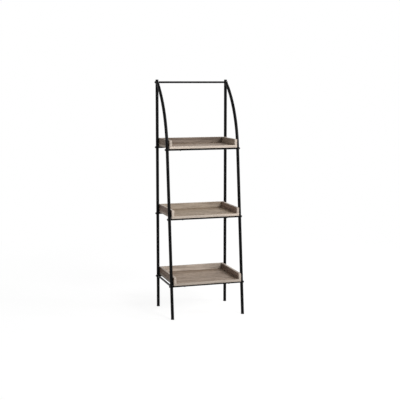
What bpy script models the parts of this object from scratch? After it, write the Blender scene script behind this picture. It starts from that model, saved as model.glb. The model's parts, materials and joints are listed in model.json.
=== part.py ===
"""Open etagere with three lipped wooden trays in a black steel tube frame.

Two side frames stand apart in X. Each has an upright back post and a front leg
that leans back, then curves over in an arc and meets the post just below its
top. Seven slim crossbars are bolted between the side frames, and the trays
stand on six of them. Metres, +Z is up, +X is to the right seen from the front
and the front faces -Y. While the object is modelled, X is 0 midway between the
side frames, Y is 0 at the post axes and Z is 0 on the floor. At the end it is
moved so that the origin lies on the floor at the middle of the outline.
"""
import math

import bmesh
import bpy
from mathutils import Matrix, Vector

# Frame
OVERALL_HEIGHT = 1.524
FRAME_SPACING = 0.4758
FOOT_SPREAD = 0.3592
LEG_LEAN = math.radians(5.93)
ARC_RADIUS = 0.594
LEG_JOINT_DROP = 0.0095
TUBE_DIAMETER = 0.020
TUBE_WALL = 0.0012

# Crossbars and the rails under the bottom tray
BAR_DIAMETER = 0.0127
BAR_WALL = 0.0010
TOP_BAR_DROP = 0.018
BOTTOM_TRAY_BAR_HEIGHT = 0.210
MIDDLE_TRAY_BAR_HEIGHT = 0.637
TOP_TRAY_BAR_HEIGHT = 1.079

# Trays
BASE_THICKNESS = 0.016
LIP_THICKNESS = 0.016
LIP_HEIGHT = 0.038
LIP_CORNER_RADIUS = 0.007
TRAY_OVERHANG = 0.020
TRAY_SIDE_GAP = 0.0009
BOARD_EDGE_BREAK = 0.0008

# Bolts with saddle washers, and threaded inserts in the crossbar ends
BOLT_DIAMETER = 0.006
BOLT_REACH = 0.014
BOLT_HEAD_DIAMETER = 0.013
BOLT_HEAD_HEIGHT = 0.0045
BOLT_RIM_HEIGHT = 0.0010
HEX_SOCKET_WIDTH = 0.004
HEX_SOCKET_DEPTH = 0.0024
WASHER_DIAMETER = 0.014
WASHER_CREST = 0.0015
INSERT_LENGTH = 0.020
INSERT_RECESS = 0.003

# Screws that hold the trays to the crossbars from below
SCREW_DIAMETER = 0.004
SCREW_HEAD_DIAMETER = 0.008
SCREW_HEAD_HEIGHT = 0.0018
SCREW_CROWN_DIAMETER = 0.0052
SCREW_DEPTH_IN_BASE = 0.010
SCREW_SPACING = 0.300

# Dowels that are glued into the lips and go down into the bases
DOWEL_DIAMETER = 0.008
DOWEL_DEPTH_IN_BASE = 0.011
DOWEL_END_INSET = 0.055
BACK_DOWELS = 3

# Plugs in the tube ends
CAP_RIM_HEIGHT = 0.0012
CAP_DOME_HEIGHT = 0.0014
CAP_PLUG_DEPTH = 0.010
FOOT_PLUG_DEPTH = 0.014
FOOT_DIAMETER = 0.0210
FOOT_HEIGHT = 0.006
FOOT_EDGE_BREAK = 0.0007

# How far the low domes of the caps and the bolt heads turn up to their flat crowns
DOME_TURN = math.radians(60.0)

# Fits
SEAT_GAP = 0.0003
HOLE_CLEARANCE = 0.0003

# Fineness of the round surfaces
TUBE_SIDES = 16
BAR_SIDES = 12
SMALL_SIDES = 12
TINY_SIDES = 8
CORNER_STEPS = 5
DOME_STEPS = 2
ARC_STEP = math.radians(4.0)
SHARP_ANGLE = math.radians(40.0)

# Finishes, each as colour, roughness and metallic
BLACK_COAT = ((0.016, 0.016, 0.017), 0.38, 0.0)
CAP_PLASTIC = ((0.013, 0.013, 0.013), 0.45, 0.0)
FOOT_PLASTIC = ((0.013, 0.013, 0.013), 0.55, 0.0)
BLACK_STEEL = ((0.022, 0.022, 0.023), 0.35, 0.6)
DRIFTWOOD = ((0.262, 0.215, 0.172), 0.60, 0.0)

# Sizes worked out from the driving dimensions
TUBE_RADIUS = TUBE_DIAMETER / 2
TUBE_BORE = TUBE_RADIUS - TUBE_WALL
BAR_RADIUS = BAR_DIAMETER / 2
BAR_BORE = BAR_RADIUS - BAR_WALL
SIDE_X = FRAME_SPACING / 2
CAP_HEIGHT = CAP_RIM_HEIGHT + CAP_DOME_HEIGHT
TOP_BAR_HEIGHT = OVERALL_HEIGHT - TOP_BAR_DROP
TRAY_HALF_WIDTH = SIDE_X - TUBE_RADIUS - TRAY_SIDE_GAP
TRAY_BACK_Y = TUBE_RADIUS
LEVELS = {
    "bottom": BOTTOM_TRAY_BAR_HEIGHT,
    "middle": MIDDLE_TRAY_BAR_HEIGHT,
    "top": TOP_TRAY_BAR_HEIGHT,
}
SIDES = {"left": -1, "right": 1}

X_AXIS = Vector((1, 0, 0))
Y_AXIS = Vector((0, 1, 0))
Z_AXIS = Vector((0, 0, 1))


def clear_scene():
    """Removes every object that the scene already holds."""
    for item in list(bpy.data.objects):
        bpy.data.objects.remove(item, do_unlink=True)


class LegCurve:
    """The front leg's axis in the YZ plane: a straight run and a tangent arc.

    The arc ends on the post's axis, LEG_JOINT_DROP below the overall height.
    The length of the straight run follows from that.
    """

    def __init__(self):
        self.foot = Vector((0, -FOOT_SPREAD, 0))
        self.run = Vector((0, math.sin(LEG_LEAN), math.cos(LEG_LEAN)))
        inward = Vector((0, math.cos(LEG_LEAN), -math.sin(LEG_LEAN)))
        meeting = Vector((0, 0, OVERALL_HEIGHT - LEG_JOINT_DROP))
        offset = meeting - self.foot - ARC_RADIUS * inward
        along = offset.dot(self.run)
        root = math.sqrt(along ** 2 - offset.length_squared + ARC_RADIUS ** 2)
        self.bend = self.foot + (along - root) * self.run
        self.centre = self.bend + ARC_RADIUS * inward
        self.end_angle = math.acos(self.centre.y / ARC_RADIUS)

    def on_arc(self, angle):
        """Returns the arc's point where the axis leans by angle."""
        out = Vector((0, -math.cos(angle), math.sin(angle)))
        return self.centre + ARC_RADIUS * out

    def y_at(self, height):
        """Returns the axis's Y at a height above the floor."""
        if height <= self.bend.z:
            return self.foot.y + height * math.tan(LEG_LEAN)
        angle = math.asin((height - self.centre.z) / ARC_RADIUS)
        return self.on_arc(angle).y

    def direction_at(self, height):
        """Returns the axis's upward direction at a height."""
        if height <= self.bend.z:
            return self.run
        angle = math.asin((height - self.centre.z) / ARC_RADIUS)
        return Vector((0, math.sin(angle), math.cos(angle)))

    def points(self, start):
        """Returns the axis from start along the straight run to the arc's end."""
        steps = max(2, round((self.end_angle - LEG_LEAN) / ARC_STEP))
        turn = (self.end_angle - LEG_LEAN) / steps
        arc = [self.on_arc(LEG_LEAN + turn * i) for i in range(steps + 1)]
        return [self.foot + start * self.run] + arc


LEG = LegCurve()


def shifted(points, x):
    """Returns the points moved to the plane at x."""
    return [Vector((x, point.y, point.z)) for point in points]


def add_ring(mesh, centre, side, other, radius, count):
    """Adds a ring of vertices about centre in the plane of side and other."""
    turn = 2 * math.pi / count
    return [
        mesh.verts.new(centre + radius * (math.cos(turn * i) * side + math.sin(turn * i) * other))
        for i in range(count)
    ]


def join_rings(mesh, rings):
    """Bridges each ring to the next with quads."""
    for low, high in zip(rings, rings[1:]):
        count = len(low)
        for i in range(count):
            j = (i + 1) % count
            mesh.faces.new((low[i], low[j], high[j], high[i]))


def add_tube(mesh, points, side, radius, bore, count):
    """Sweeps a round section along points, hollow if bore is above zero.

    side is square to the plane that the points lie in.
    """
    outer = []
    inner = []
    for i, point in enumerate(points):
        before = points[max(i - 1, 0)]
        after = points[min(i + 1, len(points) - 1)]
        other = side.cross((after - before).normalized())
        outer.append(add_ring(mesh, point, side, other, radius, count))
        if bore > 0:
            inner.append(add_ring(mesh, point, side, other, bore, count))
    if bore > 0:
        join_rings(mesh, outer + inner[::-1] + outer[:1])
    else:
        join_rings(mesh, outer)
        mesh.faces.new(outer[0])
        mesh.faces.new(outer[-1])


def add_turned(mesh, profile, matrix, count):
    """Turns a profile of (radius, height) points about the Z axis of matrix.

    A closed profile, whose last point repeats the first, makes a ring. An
    open one gets a flat disc at each end.
    """
    closed = profile[0] == profile[-1]
    rings = [
        add_ring(mesh, Vector((0, 0, height)), X_AXIS, Y_AXIS, radius, count)
        for radius, height in (profile[:-1] if closed else profile)
    ]
    if closed:
        join_rings(mesh, rings + rings[:1])
    else:
        join_rings(mesh, rings)
        mesh.faces.new(rings[0])
        mesh.faces.new(rings[-1])
    bmesh.ops.transform(mesh, matrix=matrix, verts=[v for ring in rings for v in ring])


def add_box(mesh, low, high):
    """Adds a box between two corners."""
    low = Vector(low)
    high = Vector(high)
    size = high - low
    matrix = Matrix.Translation((low + high) / 2) @ Matrix.Diagonal((*size, 1))
    bmesh.ops.create_cube(mesh, size=1, matrix=matrix)


def add_plate(mesh, outline, x_low, x_high):
    """Extrudes an outline of (y, z) points along X."""
    low = [mesh.verts.new((x_low, y, z)) for y, z in outline]
    high = [mesh.verts.new((x_high, y, z)) for y, z in outline]
    join_rings(mesh, [low, high])
    mesh.faces.new(low)
    mesh.faces.new(high)


def dome(radius, low, high):
    """Returns the (radius, height) points of a low dome with a flat crown."""
    turns = [DOME_TURN * i / DOME_STEPS for i in range(DOME_STEPS + 1)]
    rise = (high - low) / math.sin(DOME_TURN)
    return [(radius * math.cos(turn), low + rise * math.sin(turn)) for turn in turns]


def finish(name, mesh, smooth=True):
    """Turns the mesh into an object whose faces point outwards."""
    bmesh.ops.recalc_face_normals(mesh, faces=mesh.faces)
    data = bpy.data.meshes.new(name)
    mesh.to_mesh(data)
    mesh.free()
    if smooth:
        data.shade_smooth()
        data.set_sharp_from_angle(angle=SHARP_ANGLE)
    item = bpy.data.objects.new(name, data)
    bpy.context.scene.collection.objects.link(item)
    return item


def dress(item, look):
    """Gives the object a material of its own with one of the finishes."""
    colour, roughness, metallic = look
    material = bpy.data.materials.new(item.name + "_finish")
    material.use_nodes = True
    shader = material.node_tree.nodes["Principled BSDF"]
    shader.inputs["Base Color"].default_value = (*colour, 1)
    shader.inputs["Roughness"].default_value = roughness
    shader.inputs["Metallic"].default_value = metallic
    item.data.materials.append(material)
    return item


def put_copy(pattern, name, matrix):
    """Puts the pattern's mesh at the matrix, as the named object."""
    item = bpy.data.objects.get(name)
    if item is None:
        item = bpy.data.objects.new(name, pattern.data)
        bpy.context.scene.collection.objects.link(item)
    item.matrix_world = matrix


def as_cutter(item):
    """Keeps a cutting shape out of the model."""
    item.hide_render = True
    item.display_type = "WIRE"
    return item


def combine(item, other, operation):
    """Adds an exact Boolean step to the object."""
    step = item.modifiers.new(other.name, "BOOLEAN")
    step.operation = operation
    step.solver = "EXACT"
    step.object = other


def cut(item, cutter):
    """Takes the cutter's shape out of the object."""
    combine(item, cutter, "DIFFERENCE")


def fuse(item, other):
    """Adds the other's shape to the object."""
    combine(item, other, "UNION")


def break_edges(item, width):
    """Takes the sharpness off the object's edges."""
    step = item.modifiers.new("broken_edges", "BEVEL")
    step.width = width
    step.segments = 1
    step.limit_method = "ANGLE"
    step.angle_limit = SHARP_ANGLE


def crossbar_places():
    """Yields the name, Y and height of each crossbar's axis."""
    yield "top", 0.0, TOP_BAR_HEIGHT
    for level, height in LEVELS.items():
        yield level + "_back", 0.0, height
        yield level + "_front", LEG.y_at(height), height


def bolt_places():
    """Yields the name, side, Y and Z of each bolt."""
    for bar, y, height in crossbar_places():
        for name, side in SIDES.items():
            yield bar + "_crossbar_" + name + "_bolt", side, y, height


def screw_places():
    """Yields the name, X, Y and crossbar height of each tray screw."""
    for bar, y, height in crossbar_places():
        if height != TOP_BAR_HEIGHT:
            for name, side in SIDES.items():
                yield bar + "_" + name + "_screw", side * SCREW_SPACING / 2, y, height


def tray_front(height):
    """Returns the Y of a tray's front edge."""
    return LEG.y_at(height) - TRAY_OVERHANG


def tray_floor(height):
    """Returns the Z of a tray base's upper face."""
    return height + BAR_RADIUS + SEAT_GAP + BASE_THICKNESS


def dowel_places(height):
    """Returns the X and Y of a tray's dowels, for each of its lips."""
    side_x = TRAY_HALF_WIDTH - LIP_THICKNESS / 2
    rows = (tray_front(height) + DOWEL_END_INSET, TRAY_BACK_Y - DOWEL_END_INSET)
    places = {name: [(side * side_x, y) for y in rows] for name, side in SIDES.items()}
    reach = TRAY_HALF_WIDTH - LIP_THICKNESS - DOWEL_END_INSET
    pitch = 2 * reach / (BACK_DOWELS - 1)
    back_y = TRAY_BACK_Y - LIP_THICKNESS / 2
    places["back"] = [(pitch * i - reach, back_y) for i in range(BACK_DOWELS)]
    return places


def make_clearances():
    """Makes the spaces that the posts, the front legs and the bolts need."""
    reach = TUBE_RADIUS + SEAT_GAP
    posts = bmesh.new()
    legs = bmesh.new()
    for side in SIDES.values():
        x = side * SIDE_X
        ends = [Vector((x, 0, -TUBE_DIAMETER)), Vector((x, 0, OVERALL_HEIGHT + TUBE_DIAMETER))]
        add_tube(posts, ends, X_AXIS, reach, 0, TUBE_SIDES)
        add_tube(legs, shifted(LEG.points(-TUBE_DIAMETER), x), X_AXIS, reach, 0, TUBE_SIDES)
    bolts = bmesh.new()
    for _, side, y, height in bolt_places():
        ends = [
            Vector((side * (SIDE_X - TUBE_DIAMETER), y, height)),
            Vector((side * (SIDE_X + TUBE_DIAMETER), y, height)),
        ]
        add_tube(bolts, ends, Y_AXIS, BOLT_DIAMETER / 2 + HOLE_CLEARANCE, 0, SMALL_SIDES)
    return {
        "posts": as_cutter(finish("post_clearance", posts)),
        "legs": as_cutter(finish("front_leg_clearance", legs)),
        "bolts": as_cutter(finish("bolt_clearance", bolts)),
    }


def make_screw_clearance():
    """Makes the holes that the tray screws need."""
    mesh = bmesh.new()
    for _, x, y, height in screw_places():
        low = height - BAR_DIAMETER
        high = height + BAR_RADIUS + SEAT_GAP + SCREW_DEPTH_IN_BASE + SEAT_GAP
        ends = [Vector((x, y, low)), Vector((x, y, high))]
        add_tube(mesh, ends, X_AXIS, SCREW_DIAMETER / 2 + HOLE_CLEARANCE, 0, TINY_SIDES)
    return as_cutter(finish("screw_clearance", mesh))


def make_dowels(name, places, height, fit):
    """Makes a tray's dowels, or with a fit above zero the holes for them."""
    mesh = bmesh.new()
    seam = tray_floor(height)
    for x, y in places:
        ends = [
            Vector((x, y, seam - DOWEL_DEPTH_IN_BASE - fit)),
            Vector((x, y, seam + LIP_HEIGHT / 2)),
        ]
        add_tube(mesh, ends, X_AXIS, DOWEL_DIAMETER / 2 + fit, 0, TINY_SIDES)
    return as_cutter(finish(name, mesh))


def make_back_post(name, side, clearances):
    """Makes an upright post with its bolt holes."""
    x = side * SIDE_X
    top = OVERALL_HEIGHT - CAP_HEIGHT - SEAT_GAP
    mesh = bmesh.new()
    ends = [Vector((x, 0, FOOT_HEIGHT + SEAT_GAP)), Vector((x, 0, top))]
    add_tube(mesh, ends, X_AXIS, TUBE_RADIUS, TUBE_BORE, TUBE_SIDES)
    post = finish(name + "_back_post", mesh)
    cut(post, clearances["bolts"])
    dress(post, BLACK_COAT)


def make_front_leg(name, side, clearances):
    """Makes a leaning leg whose curved top is mitred round the back post."""
    mesh = bmesh.new()
    start = foot_reach() + SEAT_GAP
    points = shifted(LEG.points(start), side * SIDE_X)
    add_tube(mesh, points, X_AXIS, TUBE_RADIUS, TUBE_BORE, TUBE_SIDES)
    leg = finish(name + "_front_leg", mesh)
    cut(leg, clearances["posts"])
    cut(leg, clearances["bolts"])
    dress(leg, BLACK_COAT)


def crossbar_profile():
    """Returns the crossbar's section: a tube with a threaded insert in each end."""
    bolt_bore = BOLT_DIAMETER / 2 + HOLE_CLEARANCE
    near = SIDE_X - TUBE_RADIUS - INSERT_RECESS
    far = near - INSERT_LENGTH
    bore = [
        (BAR_BORE, -SIDE_X), (BAR_BORE, -near), (bolt_bore, -near), (bolt_bore, -far),
        (BAR_BORE, -far),
    ]
    bore += [(radius, -x) for radius, x in reversed(bore)]
    return [(BAR_RADIUS, -SIDE_X)] + bore + [(BAR_RADIUS, SIDE_X), (BAR_RADIUS, -SIDE_X)]


def make_crossbars(clearances, screw_clearance):
    """Makes the crossbars, whose ends are mitred round the uprights."""
    for name, y, height in crossbar_places():
        mesh = bmesh.new()
        along_x = Matrix.Translation((0, y, height)) @ Matrix.Rotation(math.pi / 2, 4, "Y")
        add_turned(mesh, crossbar_profile(), along_x, BAR_SIDES)
        bar = finish(name + "_crossbar", mesh)
        if height == TOP_BAR_HEIGHT:
            cut(bar, clearances["legs"])
        else:
            cut(bar, screw_clearance)
        cut(bar, clearances["legs" if y else "posts"])
        dress(bar, BLACK_COAT)


def make_side_rail(name, side, clearances):
    """Makes the rail between a back post and a front leg, beside the bottom tray."""
    x = side * SIDE_X
    height = BOTTOM_TRAY_BAR_HEIGHT
    mesh = bmesh.new()
    ends = [Vector((x, LEG.y_at(height), height)), Vector((x, 0, height))]
    add_tube(mesh, ends, X_AXIS, BAR_RADIUS, BAR_BORE, BAR_SIDES)
    rail = finish(name + "_side_rail", mesh)
    cut(rail, clearances["posts"])
    cut(rail, clearances["legs"])
    dress(rail, BLACK_COAT)


def make_post_cap(name, side):
    """Makes the domed plug in the top of a back post."""
    seat = OVERALL_HEIGHT - CAP_HEIGHT
    stem = TUBE_BORE - SEAT_GAP
    profile = [
        (stem, seat - CAP_PLUG_DEPTH),
        (stem, seat),
        (TUBE_RADIUS, seat),
    ]
    profile += dome(TUBE_RADIUS, seat + CAP_RIM_HEIGHT, OVERALL_HEIGHT)
    mesh = bmesh.new()
    add_turned(mesh, profile, Matrix.Translation((side * SIDE_X, 0, 0)), TUBE_SIDES)
    dress(finish(name + "_post_cap", mesh), CAP_PLASTIC)


def foot_reach():
    """Returns how far a front foot's head goes along the leaning leg."""
    return FOOT_HEIGHT / math.cos(LEG_LEAN) + FOOT_DIAMETER / 2 * math.tan(LEG_LEAN)


def make_foot(name, x, y, direction, head):
    """Makes a foot plug along direction, with its underside level with the floor."""
    foot = Vector((x, y, 0))
    other = direction.cross(X_AXIS)
    radius = FOOT_DIAMETER / 2
    stem = TUBE_BORE - SEAT_GAP
    mesh = bmesh.new()
    rings = []
    for size, height in ((radius - FOOT_EDGE_BREAK, 0), (radius, FOOT_EDGE_BREAK)):
        ring = add_ring(mesh, foot, X_AXIS, other, size, TUBE_SIDES)
        for vertex in ring:
            vertex.co += direction * (height - vertex.co.z) / direction.z
        rings.append(ring)
    for size, along in ((radius, head), (stem, head), (stem, head + FOOT_PLUG_DEPTH)):
        rings.append(add_ring(mesh, foot + along * direction, X_AXIS, other, size, TUBE_SIDES))
    join_rings(mesh, rings)
    mesh.faces.new(rings[0])
    mesh.faces.new(rings[-1])
    dress(finish(name, mesh), FOOT_PLASTIC)


def make_feet():
    """Makes the four foot plugs."""
    for name, side in SIDES.items():
        x = side * SIDE_X
        make_foot(name + "_back_foot", x, 0, Z_AXIS, FOOT_HEIGHT)
        make_foot(name + "_front_foot", x, LEG.foot.y, LEG.run, foot_reach())


def saddle_height(radius, angle):
    """Returns how high a washer's underside lies above the tube's axis."""
    across = radius * math.cos(angle)
    return math.sqrt((TUBE_RADIUS + SEAT_GAP) ** 2 - across ** 2)


def hexagon_radius(angle):
    """Returns the distance from the socket's centre to its hexagonal outline."""
    sector = math.pi / 3
    return HEX_SOCKET_WIDTH / 2 / math.cos((angle + sector / 2) % sector - sector / 2)


def make_bolt_mesh(saddle):
    """Makes a round-headed bolt with its washer, pointing along +Z.

    Z is 0 on the axis of the tube, which lies along Y. A saddle washer is
    hollowed to fit round the tube, and a plain one only touches its crest.
    """
    shank = BOLT_DIAMETER / 2
    washer = WASHER_DIAMETER / 2
    head = BOLT_HEAD_DIAMETER / 2
    tip = -TUBE_RADIUS - INSERT_RECESS - BOLT_REACH
    seat = TUBE_RADIUS + SEAT_GAP + WASHER_CREST
    rim = seat + BOLT_RIM_HEIGHT
    crown = seat + BOLT_HEAD_HEIGHT
    mesh = bmesh.new()
    rings = [add_ring(mesh, Vector((0, 0, tip)), X_AXIS, Y_AXIS, shank, SMALL_SIDES)]
    for radius in (shank, (shank + washer) / 2, washer):
        ring = add_ring(mesh, Vector((0, 0, 0)), X_AXIS, Y_AXIS, radius, SMALL_SIDES)
        for i, vertex in enumerate(ring):
            angle = 2 * math.pi * i / SMALL_SIDES if saddle else math.pi / 2
            vertex.co.z = saddle_height(radius, angle)
        rings.append(ring)
    for radius, height in [(washer, seat), (head, seat)] + dome(head, rim, crown):
        rings.append(add_ring(mesh, Vector((0, 0, height)), X_AXIS, Y_AXIS, radius, SMALL_SIDES))
    for height in (crown, crown - HEX_SOCKET_DEPTH):
        ring = add_ring(mesh, Vector((0, 0, height)), X_AXIS, Y_AXIS, 1, SMALL_SIDES)
        for i, vertex in enumerate(ring):
            vertex.co.xy *= hexagon_radius(2 * math.pi * i / SMALL_SIDES)
        rings.append(ring)
    join_rings(mesh, rings)
    mesh.faces.new(rings[0])
    mesh.faces.new(rings[-1])
    return mesh


def make_bolts():
    """Makes the bolts that clamp the crossbars to the uprights.

    The curved legs leave no room for a saddle washer beside the top bar, so
    its two bolts have plain ones.
    """
    patterns = {}
    for name, side, y, height in bolt_places():
        saddle = height != TOP_BAR_HEIGHT
        if saddle not in patterns:
            item = finish(name, make_bolt_mesh(saddle))
            patterns[saddle] = dress(item, BLACK_STEEL)
        out = side * X_AXIS
        along = LEG.direction_at(height) if y else Z_AXIS
        turn = Matrix((along.cross(out), along, out)).transposed().to_4x4()
        spot = Matrix.Translation((side * SIDE_X, y, height)) @ turn
        put_copy(patterns[saddle], name, spot)


def make_tray_screws():
    """Makes the screws that go up through the crossbars into the tray bases."""
    shank = SCREW_DIAMETER / 2
    head = SCREW_HEAD_DIAMETER / 2
    base = -BAR_RADIUS - SEAT_GAP
    tip = BAR_RADIUS + SEAT_GAP + SCREW_DEPTH_IN_BASE
    profile = [
        (SCREW_CROWN_DIAMETER / 2, base - SCREW_HEAD_HEIGHT),
        (head, base),
        (shank, base),
        (shank, tip),
    ]
    pattern = None
    for name, x, y, height in screw_places():
        if pattern is None:
            mesh = bmesh.new()
            add_turned(mesh, profile, Matrix.Identity(4), TINY_SIDES)
            pattern = dress(finish(name, mesh), BLACK_STEEL)
        put_copy(pattern, name, Matrix.Translation((x, y, height)))


def lip_outline(height):
    """Returns a side lip's outline, with its front upper corner rounded."""
    front = tray_front(height)
    low = tray_floor(height) + SEAT_GAP
    high = low + LIP_HEIGHT
    outline = [(front, low), (TRAY_BACK_Y, low), (TRAY_BACK_Y, high)]
    for i in range(CORNER_STEPS + 1):
        angle = math.pi / 2 * (1 + i / CORNER_STEPS)
        outline.append((
            front + LIP_CORNER_RADIUS * (1 + math.cos(angle)),
            high + LIP_CORNER_RADIUS * (math.sin(angle) - 1),
        ))
    return outline


def make_board(name, mesh):
    """Makes a board with broken edges."""
    board = finish(name, mesh, smooth=False)
    break_edges(board, BOARD_EDGE_BREAK)
    return dress(board, DRIFTWOOD)


def make_tray(level, height, screw_clearance):
    """Makes one tray: a base, and a lip with glued-in dowels on three sides."""
    floor = tray_floor(height)
    front = tray_front(height)
    seat = floor + SEAT_GAP
    inner_x = TRAY_HALF_WIDTH - LIP_THICKNESS
    places = dowel_places(height)

    base = bmesh.new()
    low = (-TRAY_HALF_WIDTH, front, floor - BASE_THICKNESS)
    add_box(base, low, (TRAY_HALF_WIDTH, TRAY_BACK_Y, floor))
    base = make_board(level + "_tray_base", base)
    cut(base, screw_clearance)
    every_place = [spot for spots in places.values() for spot in spots]
    cut(base, make_dowels(level + "_dowel_clearance", every_place, height, HOLE_CLEARANCE))

    lips = {}
    for name, side in SIDES.items():
        lips[name] = bmesh.new()
        add_plate(lips[name], lip_outline(height), *sorted((side * inner_x, side * TRAY_HALF_WIDTH)))
    lips["back"] = bmesh.new()
    reach = inner_x - SEAT_GAP
    low = (-reach, TRAY_BACK_Y - LIP_THICKNESS, seat)
    add_box(lips["back"], low, (reach, TRAY_BACK_Y, seat + LIP_HEIGHT))
    for name, mesh in lips.items():
        lip = make_board(level + "_tray_" + name + "_lip", mesh)
        fuse(lip, make_dowels(level + "_" + name + "_dowels", places[name], height, 0))


def centre_on_floor():
    """Moves everything so that the origin is at the outline's middle on the floor.

    The feet reach furthest forwards and backwards. A front foot's level cut
    runs a little further forwards than its round section.
    """
    back = FOOT_DIAMETER / 2
    front = LEG.foot.y - FOOT_DIAMETER / 2 / math.cos(LEG_LEAN)
    shift = Vector((0, -(back + front) / 2, 0))
    for item in bpy.data.objects:
        item.location += shift


def main():
    """Models the etagere."""
    clear_scene()
    clearances = make_clearances()
    screw_clearance = make_screw_clearance()
    for name, side in SIDES.items():
        make_back_post(name, side, clearances)
        make_front_leg(name, side, clearances)
        make_side_rail(name, side, clearances)
        make_post_cap(name, side)
    make_feet()
    make_crossbars(clearances, screw_clearance)
    for level, height in LEVELS.items():
        make_tray(level, height, screw_clearance)
    make_bolts()
    make_tray_screws()
    centre_on_floor()


main()
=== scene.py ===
"""Looks of an open etagere: three lipped wooden trays in a frame of black steel tube.

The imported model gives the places, the sizes of the boards and the radii of the
tubes. The rest are named values, in metres unless their note says otherwise. X runs
to the right seen from the front, the front faces -Y and the floor is at Z 0. Each
sub-assembly is a class that works out its pieces as surfaces of two parameters, on
whole arrays, and dresses them in one of the finishes.
"""

import json
import logging
import math
from collections.abc import Sequence
from dataclasses import dataclass, field
from enum import Enum

import bpy
import numpy as np
from mathutils import Matrix, Vector


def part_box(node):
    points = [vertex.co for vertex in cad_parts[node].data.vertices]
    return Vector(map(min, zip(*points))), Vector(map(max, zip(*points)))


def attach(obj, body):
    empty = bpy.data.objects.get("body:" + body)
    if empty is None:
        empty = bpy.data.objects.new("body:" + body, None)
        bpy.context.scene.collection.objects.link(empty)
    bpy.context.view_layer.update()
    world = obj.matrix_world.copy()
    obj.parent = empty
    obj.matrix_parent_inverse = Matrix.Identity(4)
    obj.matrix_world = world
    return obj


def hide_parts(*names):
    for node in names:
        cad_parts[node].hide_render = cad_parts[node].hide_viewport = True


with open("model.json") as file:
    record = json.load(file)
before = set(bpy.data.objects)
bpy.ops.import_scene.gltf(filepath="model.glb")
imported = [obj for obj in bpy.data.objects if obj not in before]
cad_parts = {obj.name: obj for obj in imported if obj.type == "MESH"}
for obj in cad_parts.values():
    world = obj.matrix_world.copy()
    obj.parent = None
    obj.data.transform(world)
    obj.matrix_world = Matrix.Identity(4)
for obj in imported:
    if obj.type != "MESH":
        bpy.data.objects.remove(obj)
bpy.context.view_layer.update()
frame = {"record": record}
LOG = logging.getLogger("etagere")

Pair = tuple[float, float]
Triple = tuple[float, float, float]

# What an input of a node takes is another node's output, a number or a few numbers
Socket = bpy.types.NodeSocket
Value = Socket | float | tuple[float, ...]

# Fineness of the surfaces, as points round a section or steps along a form
TUBE_POINTS = 48
BAR_POINTS = 40
BOLT_POINTS = 48
WELD_POINTS = 240
BEAD_POINTS = 12
STRAIGHT_STEPS = 12
ARC_STEPS = 48
ROUNDING_STEPS = 4
DOME_STEPS = 12
SCREW_STEPS = 20
CORNER_STEPS = 8

# Angle between two faces from which the edge between them is shaded sharp
SHARP_ANGLE = math.radians(35.0)

# Attribute that tells the narrow edges of a board from its faces
EDGE_BAND = "edge_band"

# Gap between pieces that rest on each other
SEAT_GAP = 0.0003

# The whole range of a blend, and where nearly all values of a noise texture lie
WHOLE: Pair = (0.0, 1.0)
NOISE_SPAN: Pair = (0.3, 0.7)

# Width of the photograph in pixels
PICTURE_WIDTH = 400.0


class Option(Enum):
    """A choice whose word also stands in the names of nodes and pieces."""

    @property
    def word(self) -> str:
        """The option's name in lower case."""
        return self.name.lower()


class Side(Option):
    """The two side frames, as the sign of their X."""

    LEFT = -1
    RIGHT = 1


class Row(Option):
    """The two rows of uprights."""

    BACK = 0
    FRONT = 1


class Level(Option):
    """The three trays, from the floor up."""

    BOTTOM = 0
    MIDDLE = 1
    TOP = 2


class Axis(Enum):
    """The direction that a board's thickness or its grain lies in."""

    X = 0
    Y = 1
    Z = 2


class Slot(Enum):
    """The record's material slots."""

    COAT = "black_coat"
    CAP = "cap_plastic"
    FOOT = "foot_plastic"
    STEEL = "black_steel"
    BOARD = "driftwood_board"


@dataclass(frozen=True)
class Dress:
    """What a piece is dressed in.

    Attributes:
        material: Its material.
        slot: The record's material slot that the material belongs to.
    """

    material: bpy.types.Material
    slot: Slot


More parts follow.
